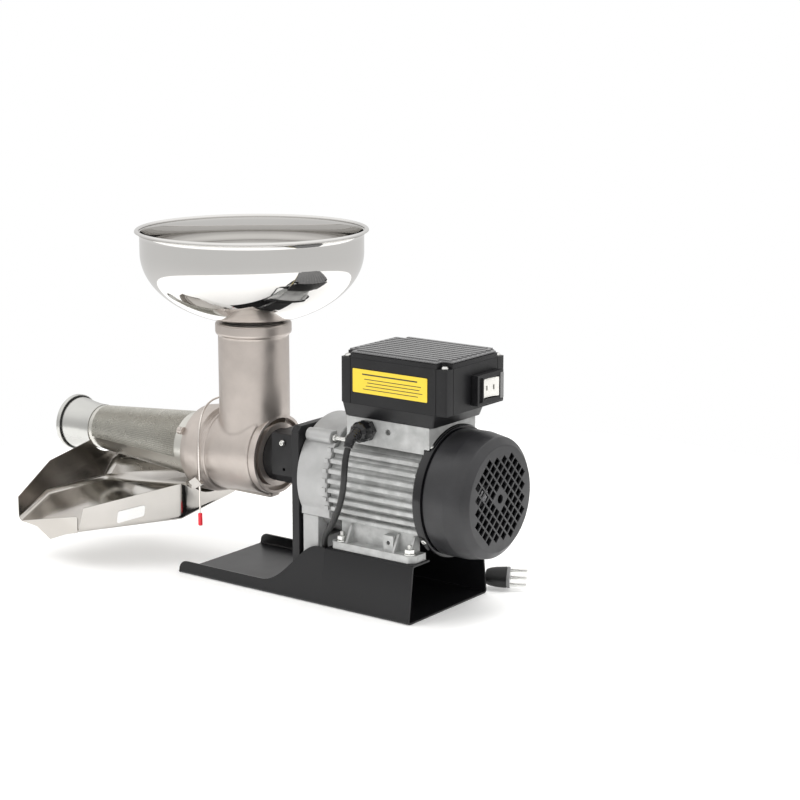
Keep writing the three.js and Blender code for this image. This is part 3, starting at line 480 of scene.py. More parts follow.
LEAD_START = [
    (-14.1, -86.5, 187.9), (-12.9, -92, 177.5), (-12.3, -94.7, 165), (-14, -94.4, 150), (-19, -91.3, 134),
    (-28.5, -86.5, 116), (-41, -80.5, 98), (-52.5, -74.6, 86.4), (-61, -68.3, 75.8), (-66.6, -61.2, 65),
    (-70, -53.6, 50.8), (-71.7, -46.4, 36), (-74.6, -38.6, 22.8), (-81.2, -29.4, 12.8), (-91, -19, 7.5),
    (-104, -6.5, 6), (-118, 8, 6.2), (-131, 23.5, 7.8), (-141, 38.5, 12), (-147.4, 51.2, 15.8),
    (-151.4, 63.3, 18.5), (-153.3, 75.8, 19.2), (-150.8, 87.9, 17.8), (-143.8, 98.1, 15),
    (-133.4, 104.7, 11.6), (-121.2, 106.8, 8.2), (-109.2, 103.7, 5.6), (-99.3, 96.6, 4.1),
    (-90, 88.6, 3.8), (-80, 83.6, 4.3), (-70.5, 81.2, 4.7),
]
LEAD_END = [
    (-50, 80.2, 11.8), (-42, 80, 11.1), (-30, 79.8, 9), (-18, 79.4, 7.2), (-6, 78.9, 6.4), (6, 78.4, 7),
    (15, 78.3, 8.6), (22, 78.9, 10.4), (28.2, 80.2, 12), (33.7, 82, 13.1),
]


def coil_points():
    """Two layers of a flat spiral: inwards on the floor, up, and outwards on top of it."""
    outer, pitch, lead_in, climb = 45.1, 7.2, 0.3, 0.35
    start = COIL_CENTRE[1] - LEAD_LINE_Y
    half = (COIL_TURNS - climb) / 2
    inner = outer - pitch * (half - lead_in)
    points = []
    steps = 24 * COIL_TURNS
    for i in range(steps + 1):
        turn = COIL_TURNS * i / steps
        from_end = min(turn, COIL_TURNS - turn)
        if from_end < lead_in:
            t = from_end / lead_in
            radius = start + (outer - start) * t * t * (3 - 2 * t)
        else:
            radius = max(inner, outer - pitch * (from_end - lead_in))
        rise = min(1.0, max(0.0, (turn - half) / climb))
        z = COIL_Z[0] + (COIL_Z[1] - COIL_Z[0]) * rise * rise * (3 - 2 * rise)
        angle = 2 * math.pi * (turn - 0.25)
        x = COIL_CENTRE[0] + radius * math.cos(angle)
        y = COIL_CENTRE[1] + radius * math.sin(angle)
        points.append((x, y, z))
    return points


def mains_lead():
    route = smooth_path(LEAD_START + coil_points() + LEAD_END, 4)
    curve = bpy.data.curves.new("mains_lead", "CURVE")
    curve.dimensions = "3D"
    curve.bevel_depth = LEAD_DIAMETER / 2 * MM
    curve.bevel_resolution = 5
    curve.use_fill_caps = True
    spline = curve.splines.new("POLY")
    spline.points.add(len(route) - 1)
    for point, p in zip(spline.points, route):
        point.co = (*(p * MM), 1.0)
    spline.use_smooth = True
    curve.materials.append(rubber)
    lead = bpy.data.objects.new("mains_lead", curve)
    bpy.context.scene.collection.objects.link(lead)
    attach(lead, "frame")
    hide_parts("mains_cord", "cord_coil", "plug_lead")
    tie, plug, pins = coil_strap(), plug_shell(), plug_pins()


def coil_strap():
    """Rubber strap round the coil's section."""
    r0, r1, z0, z1, half, wall = 25.9, 49.6, 0.15, 16.6, 3.0, 0.9

    def section(inset, low, high):
        left, right, foot, top = r0 + inset, r1 - inset, z0 + inset, z1 - inset
        return [(left, foot, low), (right, foot, low), (right, top, high), (left, top, high)]

    bm = bmesh.new()
    prism(bm, section(0, 2.2, 3.5), "y", -half, half)
    strap = make_object("coil_strap", bm)
    tool = bmesh.new()
    prism(tool, section(wall, 1.6, 2.8), "y", -half - 1, half + 1)
    carve(strap, tool)
    spot = Matrix.Translation((COIL_CENTRE[0] * MM, COIL_CENTRE[1] * MM, 0))
    strap.data.transform(spot @ Matrix.Rotation(math.radians(135), 4, "Z"))
    return piece("coil_strap", strap, rubber, "frame", "coil_tie", bevel=0.25)


PLUG = {"x": 72.0, "y": 102.0, "z": 13.5, "turn": 28.0, "roll": 40.0}


def plug_place():
    spot = Matrix.Translation((PLUG["x"] * MM, PLUG["y"] * MM, PLUG["z"] * MM))
    turn = Matrix.Rotation(math.radians(PLUG["turn"]), 4, "Z")
    return spot @ turn @ Matrix.Rotation(math.radians(PLUG["roll"]), 4, "X")


def eased(value, power):
    """The value's size raised to a power, with its own sign."""
    return math.copysign(abs(value) ** power, value)


def loft(bm, stations, sides=32, power=0.55, index=0):
    """Closed shape through rounded rectangles given as (x, half width, half thickness)."""
    rings = []
    for x, width, thick in stations:
        ring = []
        for angle in turns(sides):
            angle += math.pi / sides
            ring.append((x, width * eased(math.cos(angle), power), thick * eased(math.sin(angle), power)))
        rings.append(vertices(bm, ring))
    stitch(bm, rings, index)


def plug_shell():
    bm = bmesh.new()
    sleeve = [(-42, 4.3, 4.3), (-41.4, 4.6, 4.6)]
    for k in range(5):
        x = -40.5 + 2.4 * k
        sleeve += [(x, 4.9, 4.7), (x + 1.5, 4.9, 4.7), (x + 1.6, 4.2, 4.1), (x + 2.3, 4.2, 4.1)]
    loft(bm, sleeve + [(-28, 5.4, 5.0)], power=0.85)
    loft(bm, [(-28.3, 5.2, 4.8), (-27, 8.4, 6.1), (-22, 10.4, 6.7), (-16, 11.5, 7), (-4.3, 12.3, 7.3),
              (-4.0, 12.0, 7.0)])
    loft(bm, [(-4.0, 11.6, 6.7), (-3.6, 12.3, 7.3), (-0.6, 12.2, 7.2), (0, 11.7, 6.7)], index=1)
    shell = make_object("plug_shell", bm)
    shell.data.transform(plug_place())
    return piece("plug_shell", shell, [rubber, clear_grey], "frame", "plug_body", angle=30)


def plug_pins():
    pins = []
    for i, y in enumerate((-9.5, 0.0, 9.5)):
        bm = bmesh.new()
        lathe(bm, [(0, 0.3), (2.3, 0.3), (2.3, 8.0, 0.2), (1.95, 8.2), (1.95, 18.4, 0.8), (0, 19.2)],
              centre=(0, y, 0), segments=24)
        pin = make_object(f"plug_prong_{i + 1}", bm)
        pin.data.transform(plug_place())
        pins.append(piece(pin.name, pin, zinc, "frame", f"plug_pin_{i + 1}"))
    return pins


# ------------------------------------------------------------------ base, plate and bracket

def bezier(p0, p1, p2, p3, steps):
    points = []
    for k in range(steps + 1):
        t = k / steps
        a, b, c, d = (1 - t) ** 3, 3 * t * (1 - t) ** 2, 3 * t * t * (1 - t), t ** 3
        points.append(tuple(a * w + b * x + c * y + d * z for w, x, y, z in zip(p0, p1, p2, p3)))
    return points


def folded_base():
    """One folded sheet: a floor, leaning side panels with a swept top edge, and flanges under the motor."""
    x0, x1, _, half, _, top = span("base_tray")
    lean, lip, sheet, bend = 8.0, 15.0, 2.0, 3.6
    start, corner = 5.0, 10.0
    stations = [(x0, start)]
    for k in range(1, 7):
        angle = math.pi / 2 * k / 6
        stations.append((x0 + corner * (1 - math.cos(angle)), start + corner * math.sin(angle)))
    stations += bezier((-150, lip), (-118, lip), (-96, top), (-74, top), 20)
    stations += [(-66, top), (-62, top), (x1, top)]

    def section(height, flange):
        """Outer face from the middle of the floor to the panel's top edge, on the +Y side."""
        outline = [(0.0, 0.0), (30.0, 0.0), (half, 0.0, bend)]
        if flange:
            outline += [(half - lean, top, bend), (36.0, top)]
        else:
            outline.append((half - lean * height / top, height))
        return rounded(outline, False, 5)

    bm = bmesh.new()
    for side in (-1, 1):
        for run, flange in ((stations[:-1], False), (stations[-2:], True)):
            rows = [vertices(bm, [(x, side * y, z) for y, z in section(h, flange)]) for x, h in run]
            for a, b in zip(rows, rows[1:]):
                for k in range(len(a) - 1):
                    corners = [a[k], b[k], b[k + 1], a[k + 1]]
                    bm.faces.new(corners if side > 0 else list(reversed(corners)))
    bmesh.ops.remove_doubles(bm, verts=bm.verts, dist=1e-6)
    for face in bm.faces:
        face.normal_update()
    obj = make_object("folded_base", bm, recalculate=False)
    thicken(obj, sheet, 1.0, even=True)
    piece("folded_base", obj, enamel, "frame", "base_tray", bevel=0.35, angle=40)


def upright_plate():
    x0, x1, _, half, z0, top = span("support_plate")
    bm = bmesh.new()
    outline = [(-half, z0), (half, z0), (half, top - 6, 2), (half - 6, top, 2), (6 - half, top, 2),
               (-half, top - 6, 2)]
    prism(bm, outline, "x", x0, x1)
    obj = make_object("upright_plate", bm)
    tool = bmesh.new()
    rod(tool, 16, x0 - 1, x1 + 1, segments=64)
    block(tool, x0 - 1, x1 + 1, -26, 18, 0, 14)
    carve(obj, tool)
    piece("upright_plate", obj, plate_paint, "frame", "support_plate", bevel=0.6)


def square_bracket():
    """Square casting with a round spigot, bored for the output shaft."""
    bm = bmesh.new()
    end = span("coupling_bracket")[1]
    outline = [(-22, 116, 2), (22, 116, 2), (30, 126, 3), (30, 174.5, 2.5), (-30, 174.5, 2.5), (-30, 126, 3)]
    prism(bm, outline, "x", -168, end)
    obj = make_object("square_bracket", bm)
    spigot = bmesh.new()
    lathe(spigot, [(0, -188), (29.8, -188, 1.2), (29.8, -166), (0, -166)], centre=(0, 0, TAIL_Z), segments=96)
    carve(obj, spigot, "UNION")
    bore = bmesh.new()
    rod(bore, 16, -190, -112, segments=64)
    rod(bore, 1.9, 0, 6, "y", (-150.5, -31, 133), 20)
    carve(obj, bore)
    piece("square_bracket", obj, plate_paint, "frame", "coupling_bracket", bevel=0.5)


def screw_head(name, node, centre, axis, h):
    """Domed screw head with a hexagon socket, h high along its axis."""
    radius = 4.0
    bm = bmesh.new()
    lathe(bm, [(0, 0), (radius, 0, 0.2), (radius, 0.45 * h, 0.3 * radius), (0.62 * radius, h, 0.3 * radius),
               (0.5 * radius, h), (0, h)], axis, centre, 40)
    obj = make_object(name, bm)
    socket = bmesh.new()
    rod(socket, 0.46 * radius, 0.5 * h, 1.3 * h, axis, centre, 6)
    carve(obj, socket)
    piece(name, obj, zinc, "frame", node, bevel=0.12)


# ------------------------------------------------------------------ reducer

TIE_Y, TIE_Z = 47.5, 185.5
FIN_HEIGHTS = [5.5 + 10.7 * k for k in range(-4, 4)]


def reducer_case():
    x0, x1 = span("gearbox_housing")[:2]
    radius, fin_radius, bore, cavity, wall = 66.5, 68.2, 11.3, 58, 6
    bm = bmesh.new()
    lathe(bm, [(bore, x0), (radius - 1.5, x0, 1), (radius, x0 + 1.5, 1), (radius, x1 - 1.5, 1),
               (radius - 1, x1), (cavity, x1), (cavity, x0 + wall), (bore, x0 + wall)], segments=128)
    for side in (-1, 1):
        side_block(bm, side, x0 + 2.7, x1 - 0.7, 42, 60, 97, 109)
    for side in (-1, 1):
        lathe(bm, [(0, x0 + 4), (7.5, x0 + 4, 1.5), (7.5, x1 - 4, 1), (0, x1 - 4)],
              centre=(0, side * TIE_Y, TIE_Z), segments=32)
        side_block(bm, side, x0 + 5, x1 - 5, 40, 47, TIE_Z - 5, TIE_Z + 6.6)
        for dz in FIN_HEIGHTS:
            reach = math.sqrt(fin_radius ** 2 - dz ** 2)
            z = AXIS_Z + dz
            side_block(bm, side, x1 - 5.6, x1 - 0.4, reach - 4, reach, z - 2.4, z + 2.4)
    obj = make_object("reducer_case", bm)
    seats = bmesh.new()
    for side in (-1, 1):
        rod(seats, 5.5, x1 - 4, x1 + 1, centre=(0, side * TIE_Y, TIE_Z))
    carve(obj, seats, merge=True)
    piece("reducer_case", obj, cast_smooth, "frame", "gearbox_housing", bevel=0.6,
          segments=3, angle=40)


def reducer_stand():
    x0, x1, _, half, z0, top = span("gearbox_stand")
    bm = bmesh.new()
    for side in (-1, 1):
        side_block(bm, side, x0, x1, 44, half, z0, top)
        side_block(bm, side, x0 - 1.5, x1 + 1.5, 38, half + 2, z0, z0 + 5)
    block(bm, x0, x1, -46, 46, 56, 70.5)
    piece("reducer_stand", bm, cast_smooth, "frame", "gearbox_stand", bevel=0.9,
          segments=3)


def tie_rod():
    bm = bmesh.new()
    x0, x1 = span("tie_bolt")[:2]
    centre = (0, -TIE_Y, TIE_Z)
    lathe(bm, [(0, x0), (4.0, x0, 0.5), (4.0, x0 + 3.4, 0.8), (2.4, x0 + 4.2), (2.4, x1, 0.5), (0, x1)],
          centre=centre, segments=32)
    piece("tie_rod", bm, zinc, "frame", "tie_bolt")


# ------------------------------------------------------------------ motor

def motor_casting():
    """Finned housing with feet, gussets, an earth boss and the saddle under the control box."""
    bm = bmesh.new()
    x0, x1 = -60.0, 60.0
    radius, cavity, bore, fin_root, fin_tip = 60.5, 56.3, 16.3, 58.5, 67.0
    lathe(bm, [(bore, x0), (radius, x0, 1.5), (radius, x1), (cavity, x1), (cavity, x0 + 6), (bore, x0 + 6)],
          segments=112)
    for dz in FIN_HEIGHTS:
        z = AXIS_Z + dz
        reach = math.sqrt(fin_tip ** 2 - dz ** 2)
        root = math.sqrt(fin_root ** 2 - dz ** 2)
        for side in (-1, 1):
            taper = [(side * root, z - 3.1), (side * reach, z - 2.5, 1.3), (side * reach, z + 2.5, 1.3),
                     (side * root, z + 3.1)]
            prism(bm, taper, "x", -58, 57)
    for side in (-1, 1):
        y0, y1 = sorted((side * 39, side * 63))
        foot = [(-57, y0), (55, y0), (55, y1), (51, y1), (-53, y1), (-57, y1)]
        if side < 0:
            foot = [(-57, y0 + 3, 2), (-54, y0, 2), (48, y0, 2), (55, y0 + 7, 2), (55, y1), (-57, y1)]
        prism(bm, foot, "z", 64.9, 73)
        side_block(bm, side, -52, 50, 43, 49, 70, 104)
        for x in (-37, 27, 48.5):
            gusset = [(side * 47, 72), (side * 61.5, 72), (side * 60.5, 74.5, 1), (side * 48, 98, 2)]
            prism(bm, gusset, "x", x - 1.4, x + 1.4)
        side_block(bm, side, 12, 25, 46, 58, 72, 90)
    prism(bm, rectangle(-43.6, 67, 184.5, 214, 1), "y", -50, 36)
    obj = make_object("motor_casting", bm)
    tool = bmesh.new()
    rod(tool, 74, 60.02, 75, segments=96)
    rod(tool, 3.4, -6, 6, "y", (12.4, -50, 202.4))
    rod(tool, 8, -6, 12, "y", (-14, -50, 202), 40)
    rod(tool, 2.3, -3, 8, "y", (18.5, -58, 82), 24)
    rod(tool, bore, x0 - 1, x0 + 7, segments=64)
    carve(obj, tool, merge=True)
    piece("motor_casting", obj, cast_grey, "frame", "motor_housing", bevel=0.55,
          angle=42)


def foot_nut(number):
    """Washer, hexagon nut and stud end."""
    bm = bmesh.new()
    node = f"foot_bolt_{number}"
    z0, z1 = span(node)[4:]
    centre = middle(node)
    lathe(bm, [(2.9, z0), (7, z0, 0.4), (7, z0 + 1.5, 0.4), (2.9, z0 + 1.5)], "z", centre, 40)
    lathe(bm, [(2.9, z0 + 1.6), (5.9, z0 + 1.6), (5.9, z0 + 6.1), (5.0, z0 + 6.6), (2.9, z0 + 6.6)], "z",
          centre, 6)
    stud = [(0, z0)]
    for k in range(5):
        z = z0 + 6.4 + 0.8 * k
        stud += [(2.55, z), (2.85, z + 0.4)]
    lathe(bm, stud + [(2.3, z1), (0, z1)], "z", centre, 28)
    piece(f"foot_nut_{number}", bm, zinc, "frame", node, bevel=0.2)


def end_shield():
    """Rear bearing shield with a wide rim; small screws hold it."""
    x0, x1, _, radius, _, _ = span("rear_flange")
    bm = bmesh.new()
    lathe(bm, [(16, x0), (71.5, x0, 1), (radius, x0 + 1.6, 0.8), (radius, x1 - 1.4, 0.8), (72, x1, 0.6),
               (16, x1)], segments=144)
    piece("end_shield", bm, gloss_black, "frame", "rear_flange")
    for i, degrees in enumerate((128, 218, 322, 52)):
        screw = bmesh.new()
        lathe(screw, [(0, radius - 1), (3.3, radius - 1), (3.2, radius + 0.7, 0.5), (1.9, radius + 1.3, 0.4),
                      (1.5, radius + 0.8), (0, radius + 0.8)], "z", ((x0 + x1) / 2, 0, 0), 28)
        turn = Matrix.Rotation(math.radians(degrees - 90), 4, "X")
        bmesh.ops.transform(screw, matrix=Matrix.Translation((0, 0, AXIS_Z * MM)) @ turn, verts=screw.verts)
        piece(f"shield_screw_{i + 1}", screw, zinc, "frame")


def fan_cowl():
    """Moulded cowl with a lattice of square openings on its face."""
    x0, x1, _, radius, _, _ = span("fan_cover")
    wall = 2.0
    bm = bmesh.new()
    lathe(bm, [(0, x1), (58.5, x1, 2.5), (66.5, x1 - 6.5, 4), (radius, x1 - 27, 3), (radius, x0 + 1.6, 0.8),
               (radius - 1.6, x0 + 1.2), (radius - 1.6, x0), (radius - wall - 1, x0),
               (radius - wall, x1 - 27, 3), (64.6, x1 - 7.9, 3), (57.9, x1 - wall, 2), (0, x1 - wall)],
          segments=160, steps=6)
    obj = make_object("fan_cowl", bm)
    tool = bmesh.new()
    pitch, half, reach = 14.0, 5.55, 47.5
    for i in range(-4, 5):
        for j in range(-4, 5):
            for u, v in ((pitch * (i + 0.5), pitch * j), (pitch * i, pitch * (j + 0.5))):
                if 8 < math.hypot(u, v) < reach:
                    z = AXIS_Z + v
                    hole = [(u, z - half), (u + half, z), (u, z + half), (u - half, z)]
                    prism(tool, hole, "x", x1 - 6, x1 + 4)
    rod(tool, 5, x1 - 6, x1 + 4)
    carve(obj, tool)
    piece("fan_cowl", obj, cowl_plastic, "frame", "fan_cover", bevel=0.28, angle=40)


def fan_wheel():
    bm = bmesh.new()
    x0, x1 = span("cooling_fan")[:2]
    lathe(bm, [(7.8, x0), (60, x0, 0.4), (60, x0 + 1.6, 0.6), (14, x0 + 1.8, 3), (13, x1, 1), (7.8, x1)],
          segments=96)
    for k in range(6):
        turn = Matrix.Rotation(k * math.pi / 3, 4, "X")
        blade = [(x0 + 1, 11), (x1 - 2, 11), (x1 - 2, 52, 4), (x0 + 12, 60, 3), (x0 + 1, 60)]
        for vert in prism(bm, blade, "y", -0.9, 0.9):
            vert.co = turn @ vert.co + Vector((0, 0, AXIS_Z * MM))
    piece("fan_wheel", bm, box_plastic, "rotor", "cooling_fan", bevel=0.3)


# ------------------------------------------------------------------ control box

def box_tray():
    """Tapered lower half of the control box."""
    x0, x1, _, _, z0, z1 = span("control_box_base")
    bm = bmesh.new()
    rows = []
    for inset, near, far, z in ((3.5, -50, 38, z0), (3.2, -50.2, 38.3, z0 + 0.6), (0.0, -53.5, 44, z1)):
        outline = rounded(rectangle(x0 + 0.6 * inset, x1 - 1.1 * inset, near, far, 3))
        rows.append(vertices(bm, [(u, v, z) for u, v in outline]))
    stitch(bm, rows)
    obj = make_object("box_tray", bm)
    tool = bmesh.new()
    block(tool, x0 + 5, 70, -47, 35, z0 + 3, z1 + 2)
    carve(obj, tool)
    piece("box_tray", obj, box_plastic, "frame", "control_box_base", bevel=0.5)


def cross_outline(x0, x1, half):
    """The rectangle with notched corners that the cover's raised top and its lid share."""
    notch, radius = 12, 1.5
    return [
        (x0 + notch, -half, radius), (x1 - notch, -half, radius), (x1 - notch, notch - half, 2 * radius),
        (x1, notch - half, radius), (x1, half - notch, radius), (x1 - notch, half - notch, 2 * radius),
        (x1 - notch, half, radius), (x0 + notch, half, radius), (x0 + notch, half - notch, 2 * radius),
        (x0, half - notch, radius), (x0, notch - half, radius), (x0 + notch, notch - half, 2 * radius),
    ]


def box_hood():
    """Upper half: plain walls, a raised cross-shaped top and an opening for the switch."""
    x0, x1, _, half, z0, top = span("control_box_cover")
    post = 280.0
    bm = bmesh.new()
    prism(bm, rectangle(x0, x1, -half, half, 2.5), "z", z0, post)
    obj = make_object("box_hood", bm)
    raised = bmesh.new()
    prism(raised, cross_outline(x0 + 0.4, x1 - 0.4, half - 0.4), "z", post - 2, top)
    carve(obj, raised, "UNION")
    tool = bmesh.new()
    block(tool, x0 + 3, x1 - 3, 3 - half, half - 3, z0 - 1, post - 3)
    block(tool, x1 - 4, x1 + 1, -2, 36, 239, 264)
    inset, wide, deep = 13.2, 0.35, 0.5
    for x in (x0 + inset, x1 - inset):
        block(tool, x - wide, x + wide, -half - 1, deep - half, z0 - 1, post)
        block(tool, x - wide, x + wide, half - deep, half + 1, z0 - 1, post)
    for y in (inset - half, half - inset):
        block(tool, x1 - deep, x1 + 1, y - wide, y + wide, z0 - 1, post)
        block(tool, x0 - 1, x0 + deep, y - wide, y + wide, z0 - 1, post)
    carve(obj, tool)
    piece("box_hood", obj, box_plastic, "frame", "control_box_cover", bevel=0.45)


def ribbed_lid():
    x0, x1, _, half, z0, z1 = span("lid_plate")
    pitch, half_rib = 9.0, 2.5
    bm = bmesh.new()
    prism(bm, cross_outline(x0, x1, half), "z", z0, z0 + 1.7)
    for k in range(-5, 6):
        reach = 15 if abs(k) >= 5 else 4.5
        y = pitch * k
        rib = rectangle(x0 + reach, x1 - reach, y - half_rib, y + half_rib, 1.2)
        prism(bm, rib, "z", z0 + 1, z1)
    # The lid takes the plastic whose grey is painted highlight.
    piece("ribbed_lid", bm, rib_plastic_painted_highlight, "frame", "lid_plate", bevel=0.45)


def warning_film():
    """Plain yellow film with thin ruled bars where a printed notice would be."""
    x0, x1, y0, y1, z0, z1 = span("caution_label")
    bm = bmesh.new()
    prism(bm, rectangle(x0, x1, z0, z1, 1.2), "y", y0 + 0.15, y1)
    bars = [(0.13, 0.87, 0.80, 1.5), (0.16, 0.92, 0.60, 0.8), (0.20, 0.90, 0.46, 0.8),
            (0.18, 0.94, 0.32, 0.8), (0.14, 0.88, 0.18, 0.8)]
    for start, end, level, height in bars:
        z = z0 + level * (z1 - z0)
        left, right = x0 + start * (x1 - x0), x0 + end * (x1 - x0)
        bar = rectangle(left, right, z - height / 2, z + height / 2)
        prism(bm, bar, "y", y0 + 0.06, y0 + 0.2, index=1)
    piece("warning_film", bm, [yellow_film, ink], "frame", "caution_label")


def switch_bezel():
    x0, x1, y0, y1, z0, z1 = span("switch_frame")
    bm = bmesh.new()
    block(bm, x0, x1, y0, y1, z0, z1)
    obj = make_object("switch_bezel", bm)
    tool = bmesh.new()
    prism(tool, rectangle(2.9, 32.1, 240.3, 262.7, 2), "x", x0 - 2, x1 + 2)
    prism(tool, rectangle(-6.2, 0.4, 238, 265, 1), "x", x1 - 2.2, x1 + 2)
    carve(obj, tool)
    piece("switch_bezel", obj, box_plastic, "frame", "switch_frame", bevel=0.5)
    strip = bmesh.new()
    prism(strip, rectangle(33.4, y1 - 0.4, 237.4, 265.6, 1), "x", x1 - 0.6, x1 + 0.6)
    piece("switch_strip", strip, clear_grey, "frame", bevel=0.25)


def rocker_cap():
    """Curved rocker on its vertical pin, resting to one side."""
    joint = JOINTS["switch_rock"]["pos_m"]
    bm = bmesh.new()
    outline = [(-5, -11.5, 1), (2.2, -13.4, 1.2), (4.4, -12.6, 0.8)]
    outline += [(2.0 + 2.2 * (y / 12.0) ** 2, y) for y in range(-11, 12)]
    outline += [(4.4, 12.6, 0.8), (2.2, 13.4, 1.2), (-5, 11.5, 1)]
    prism(bm, outline, "z", -10.2, 10.2)
    for k in (-5.5, 5.5):
        tube(bm, [(3.0, k, -2.6), (3.0, k, 2.6)], 0.55, 10, index=1)
    obj = make_object("rocker_cap", bm)
    obj.data.transform(Matrix.Translation(joint) @ Matrix.Rotation(math.radians(-8), 4, "Z"))
    piece("rocker_cap", obj, [ivory, ink], "rocker", "switch_rocker", bevel=0.6,
          segments=3)


# ------------------------------------------------------------------ cable gland

def cable_gland():
    """Hexagon body, fluted dome nut and a bent, ribbed sleeve that ends where the lead leaves it."""
    x, z = -14.0, 202.0
    sides, flutes = 72, 12
    bm = bmesh.new()
    centre = (x, 0, z)
    hexagon = [(0, -50.3), (11.6, -50.3, 0.3), (12, -51, 0.3), (12, -55.6, 0.3), (11.2, -56.2), (0, -56.2)]
    lathe(bm, hexagon, "y", centre, 6)
    rod(bm, 9.6, -56.2, -57.6, "y", centre, 48)
    rings = []
    for radius, y in ((10.9, -57.6), (11.4, -58.4), (11.3, -66), (10.2, -69.4), (7.8, -72)):
        depth = 0.35 if -70 < y < -58 else 0.0
        rings.append(vertices(bm, [
            turned_point("y", radius + depth * math.cos(flutes * angle), y, angle, centre)
            for angle in turns(sides)]))
    stitch(bm, rings)
    bend = smooth_path([(x, -70, z), (x, -75, z - 2), (x, -82.3, z - 6), (x, -86, 189)], 10)
    rings = []
    side = Vector((1, 0, 0))
    for i, p in enumerate(bend):
        up = direction(bend, i).cross(side).normalized()
        t = i / (len(bend) - 1)
        rib = 0.25 if i % 4 < 2 and 0.15 < t < 0.9 else 0
        rings.append(round_ring(bm, p, side, up, 7.0 - 2.3 * t + rib, 28))
    stitch(bm, rings)
    stands_for = ("cable_gland", "gland_sleeve")
    piece("cable_gland_nut", bm, gloss_black, "frame", stands_for, angle=32)


# ------------------------------------------------------------------ press head

def press_casting():
    """Cast barrel and neck, blended where they meet, with turned rims and bores."""
    bm = bmesh.new()
    stations = [(-262, 46.2, 136.2), (-259, 46.5, 136.5), (-247, 47.3, 138.6), (-236, 47.8, 140),
                (-213, 48.3, 141), (-190, 48.5, 141.5)]
    stitch(bm, [turned_ring(bm, "x", radius, x, (0, 0, z), 96) for x, radius, z in stations])
    rod(bm, 41, 150, 279, "z", (NECK_X, 0, 0), 96)
    prism(bm, [(-262, 89, 2), (-188, 89, 2), (-188, 110), (-262, 110)], "y", -9, 9)
    obj = make_object("press_casting", bm)
    remesh = obj.modifiers.new("blend", "REMESH")
    remesh.mode = "VOXEL"
    remesh.voxel_size = 0.0013
    soften = obj.modifiers.new("soften", "SMOOTH")
    soften.factor = 0.5
    soften.iterations = 14
    bake_modifiers(obj)
    turned = [
        ("x", (0, 0, AXIS_Z), [
            (0, -292), (49.5, -292, 0.6), (51, -283.5, 0.5), (51, -267.4, 0.8), (49.6, -265.6, 0.6),
            (48.3, -264.6, 0.4), (49.1, -263.7, 0.4), (48.2, -262.6, 0.4), (47.3, -261.4, 0.8),
            (47.3, -259.6, 0.4), (48.2, -258.8, 0.4), (48.2, -258, 0.4), (46.9, -256.6, 0.6), (40, -255),
            (0, -255)]),
        ("x", (0, 0, TAIL_Z), [
            (0, -196), (43, -196, 2), (46.3, -191.2, 1), (46.3, -182.4, 0.6), (45.6, -181.6), (0, -181.6)]),
        ("z", (NECK_X, 0, 0), [
            (0, 275), (40.7, 275), (41.3, 278.4, 0.8), (43.6, 280.6, 1), (44, 282.5, 1), (44, 291.6, 1.4),
            (42.4, 293, 0.8), (0, 293)]),
    ]
    for axis, centre, profile in turned:
        rim = bmesh.new()
        lathe(rim, profile, axis, centre, 144)
        carve(obj, rim, "UNION")
    bores = [
        ("x", (0, 0, AXIS_Z), [
            (0, -300), (43.5, -300), (43.5, -284), (36, -284), (36, -199), (12, -199), (12, -186),
            (0, -186)]),
        ("z", (NECK_X, 0, 0), [(0, 158), (35.5, 158), (35.5, 296), (0, 296)]),
        ("x", (0, 0, TAIL_Z), [(0, -190), (30.3, -190), (30.3, -168), (0, -168)]),
        ("x", (0, 0, TAIL_Z), [(37, -189.6), (42.5, -189.6), (42.5, -168), (37, -168)]),
    ]
    for axis, centre, profile in bores:
        bore = bmesh.new()
        lathe(bore, profile, axis, centre, 112)
        carve(obj, bore)
    overhang = bmesh.new()
    block(overhang, -181.55, -165, -45, 45, 150, 187.2)
    carve(obj, overhang)
    piece("press_casting", obj, head_alloy, "head", "press_body", angle=38)
    knob = bmesh.new()
    lathe(knob, [(0, -291.5), (4.6, -291.5), (4.6, -293.6, 0.4), (3.7, -294.2), (4.4, -295),
                 (4.6, -299.4, 0.8), (0, -300)], centre=(0, -42.5, 161.0), segments=28)
    piece("flange_stud", knob, head_turned, "head")


def polished_bowl():
    """Spun bowl: rolled rim, plain wall, rounded bottom and the spigot inside the neck."""
    radius, rim, top, curl = 128.0, 133.6, 401.0, 2.7
    bowl, depth, wall, neck = 374.0, 82.0, 1.3, 46.0
    steps = 40
    outer, inner = [], []
    for k in range(steps + 1):
        u = neck / radius + (1 - neck / radius) * math.sin(math.pi / 2 * k / steps)
        drop = math.sqrt(1 - min(1.0, u) ** 2)
        outer.append((radius * u, bowl - depth * drop))
        inner.append(((radius - wall) * u, bowl - (depth - wall) * drop))
    roll = [(radius, top - drop) for drop in (25, 22, 16, 11, 9, 8)]
    for k in range(13):
        angle = math.pi * (1.0 - 1.35 * k / 12) + math.pi * 0.35
        roll.append((rim - curl + curl * math.cos(angle), top - curl + curl * math.sin(angle)))
    edge = [(radius - wall + 0.6, top - 3.6), (radius - wall, top - 6)]
    profile = outer + roll + edge + list(reversed(inner))
    profile += [(36, 296.6, 1), (33.2, 294.5, 2), (33.2, 268), (34.6, 268), (34.6, 293.4)]
    bm = bmesh.new()
    lathe(bm, profile, "z", (NECK_X, 0, 0), 192)
    piece("polished_bowl", bm, mirror, "bowl", ("hopper", "hopper_spigot"), angle=50)


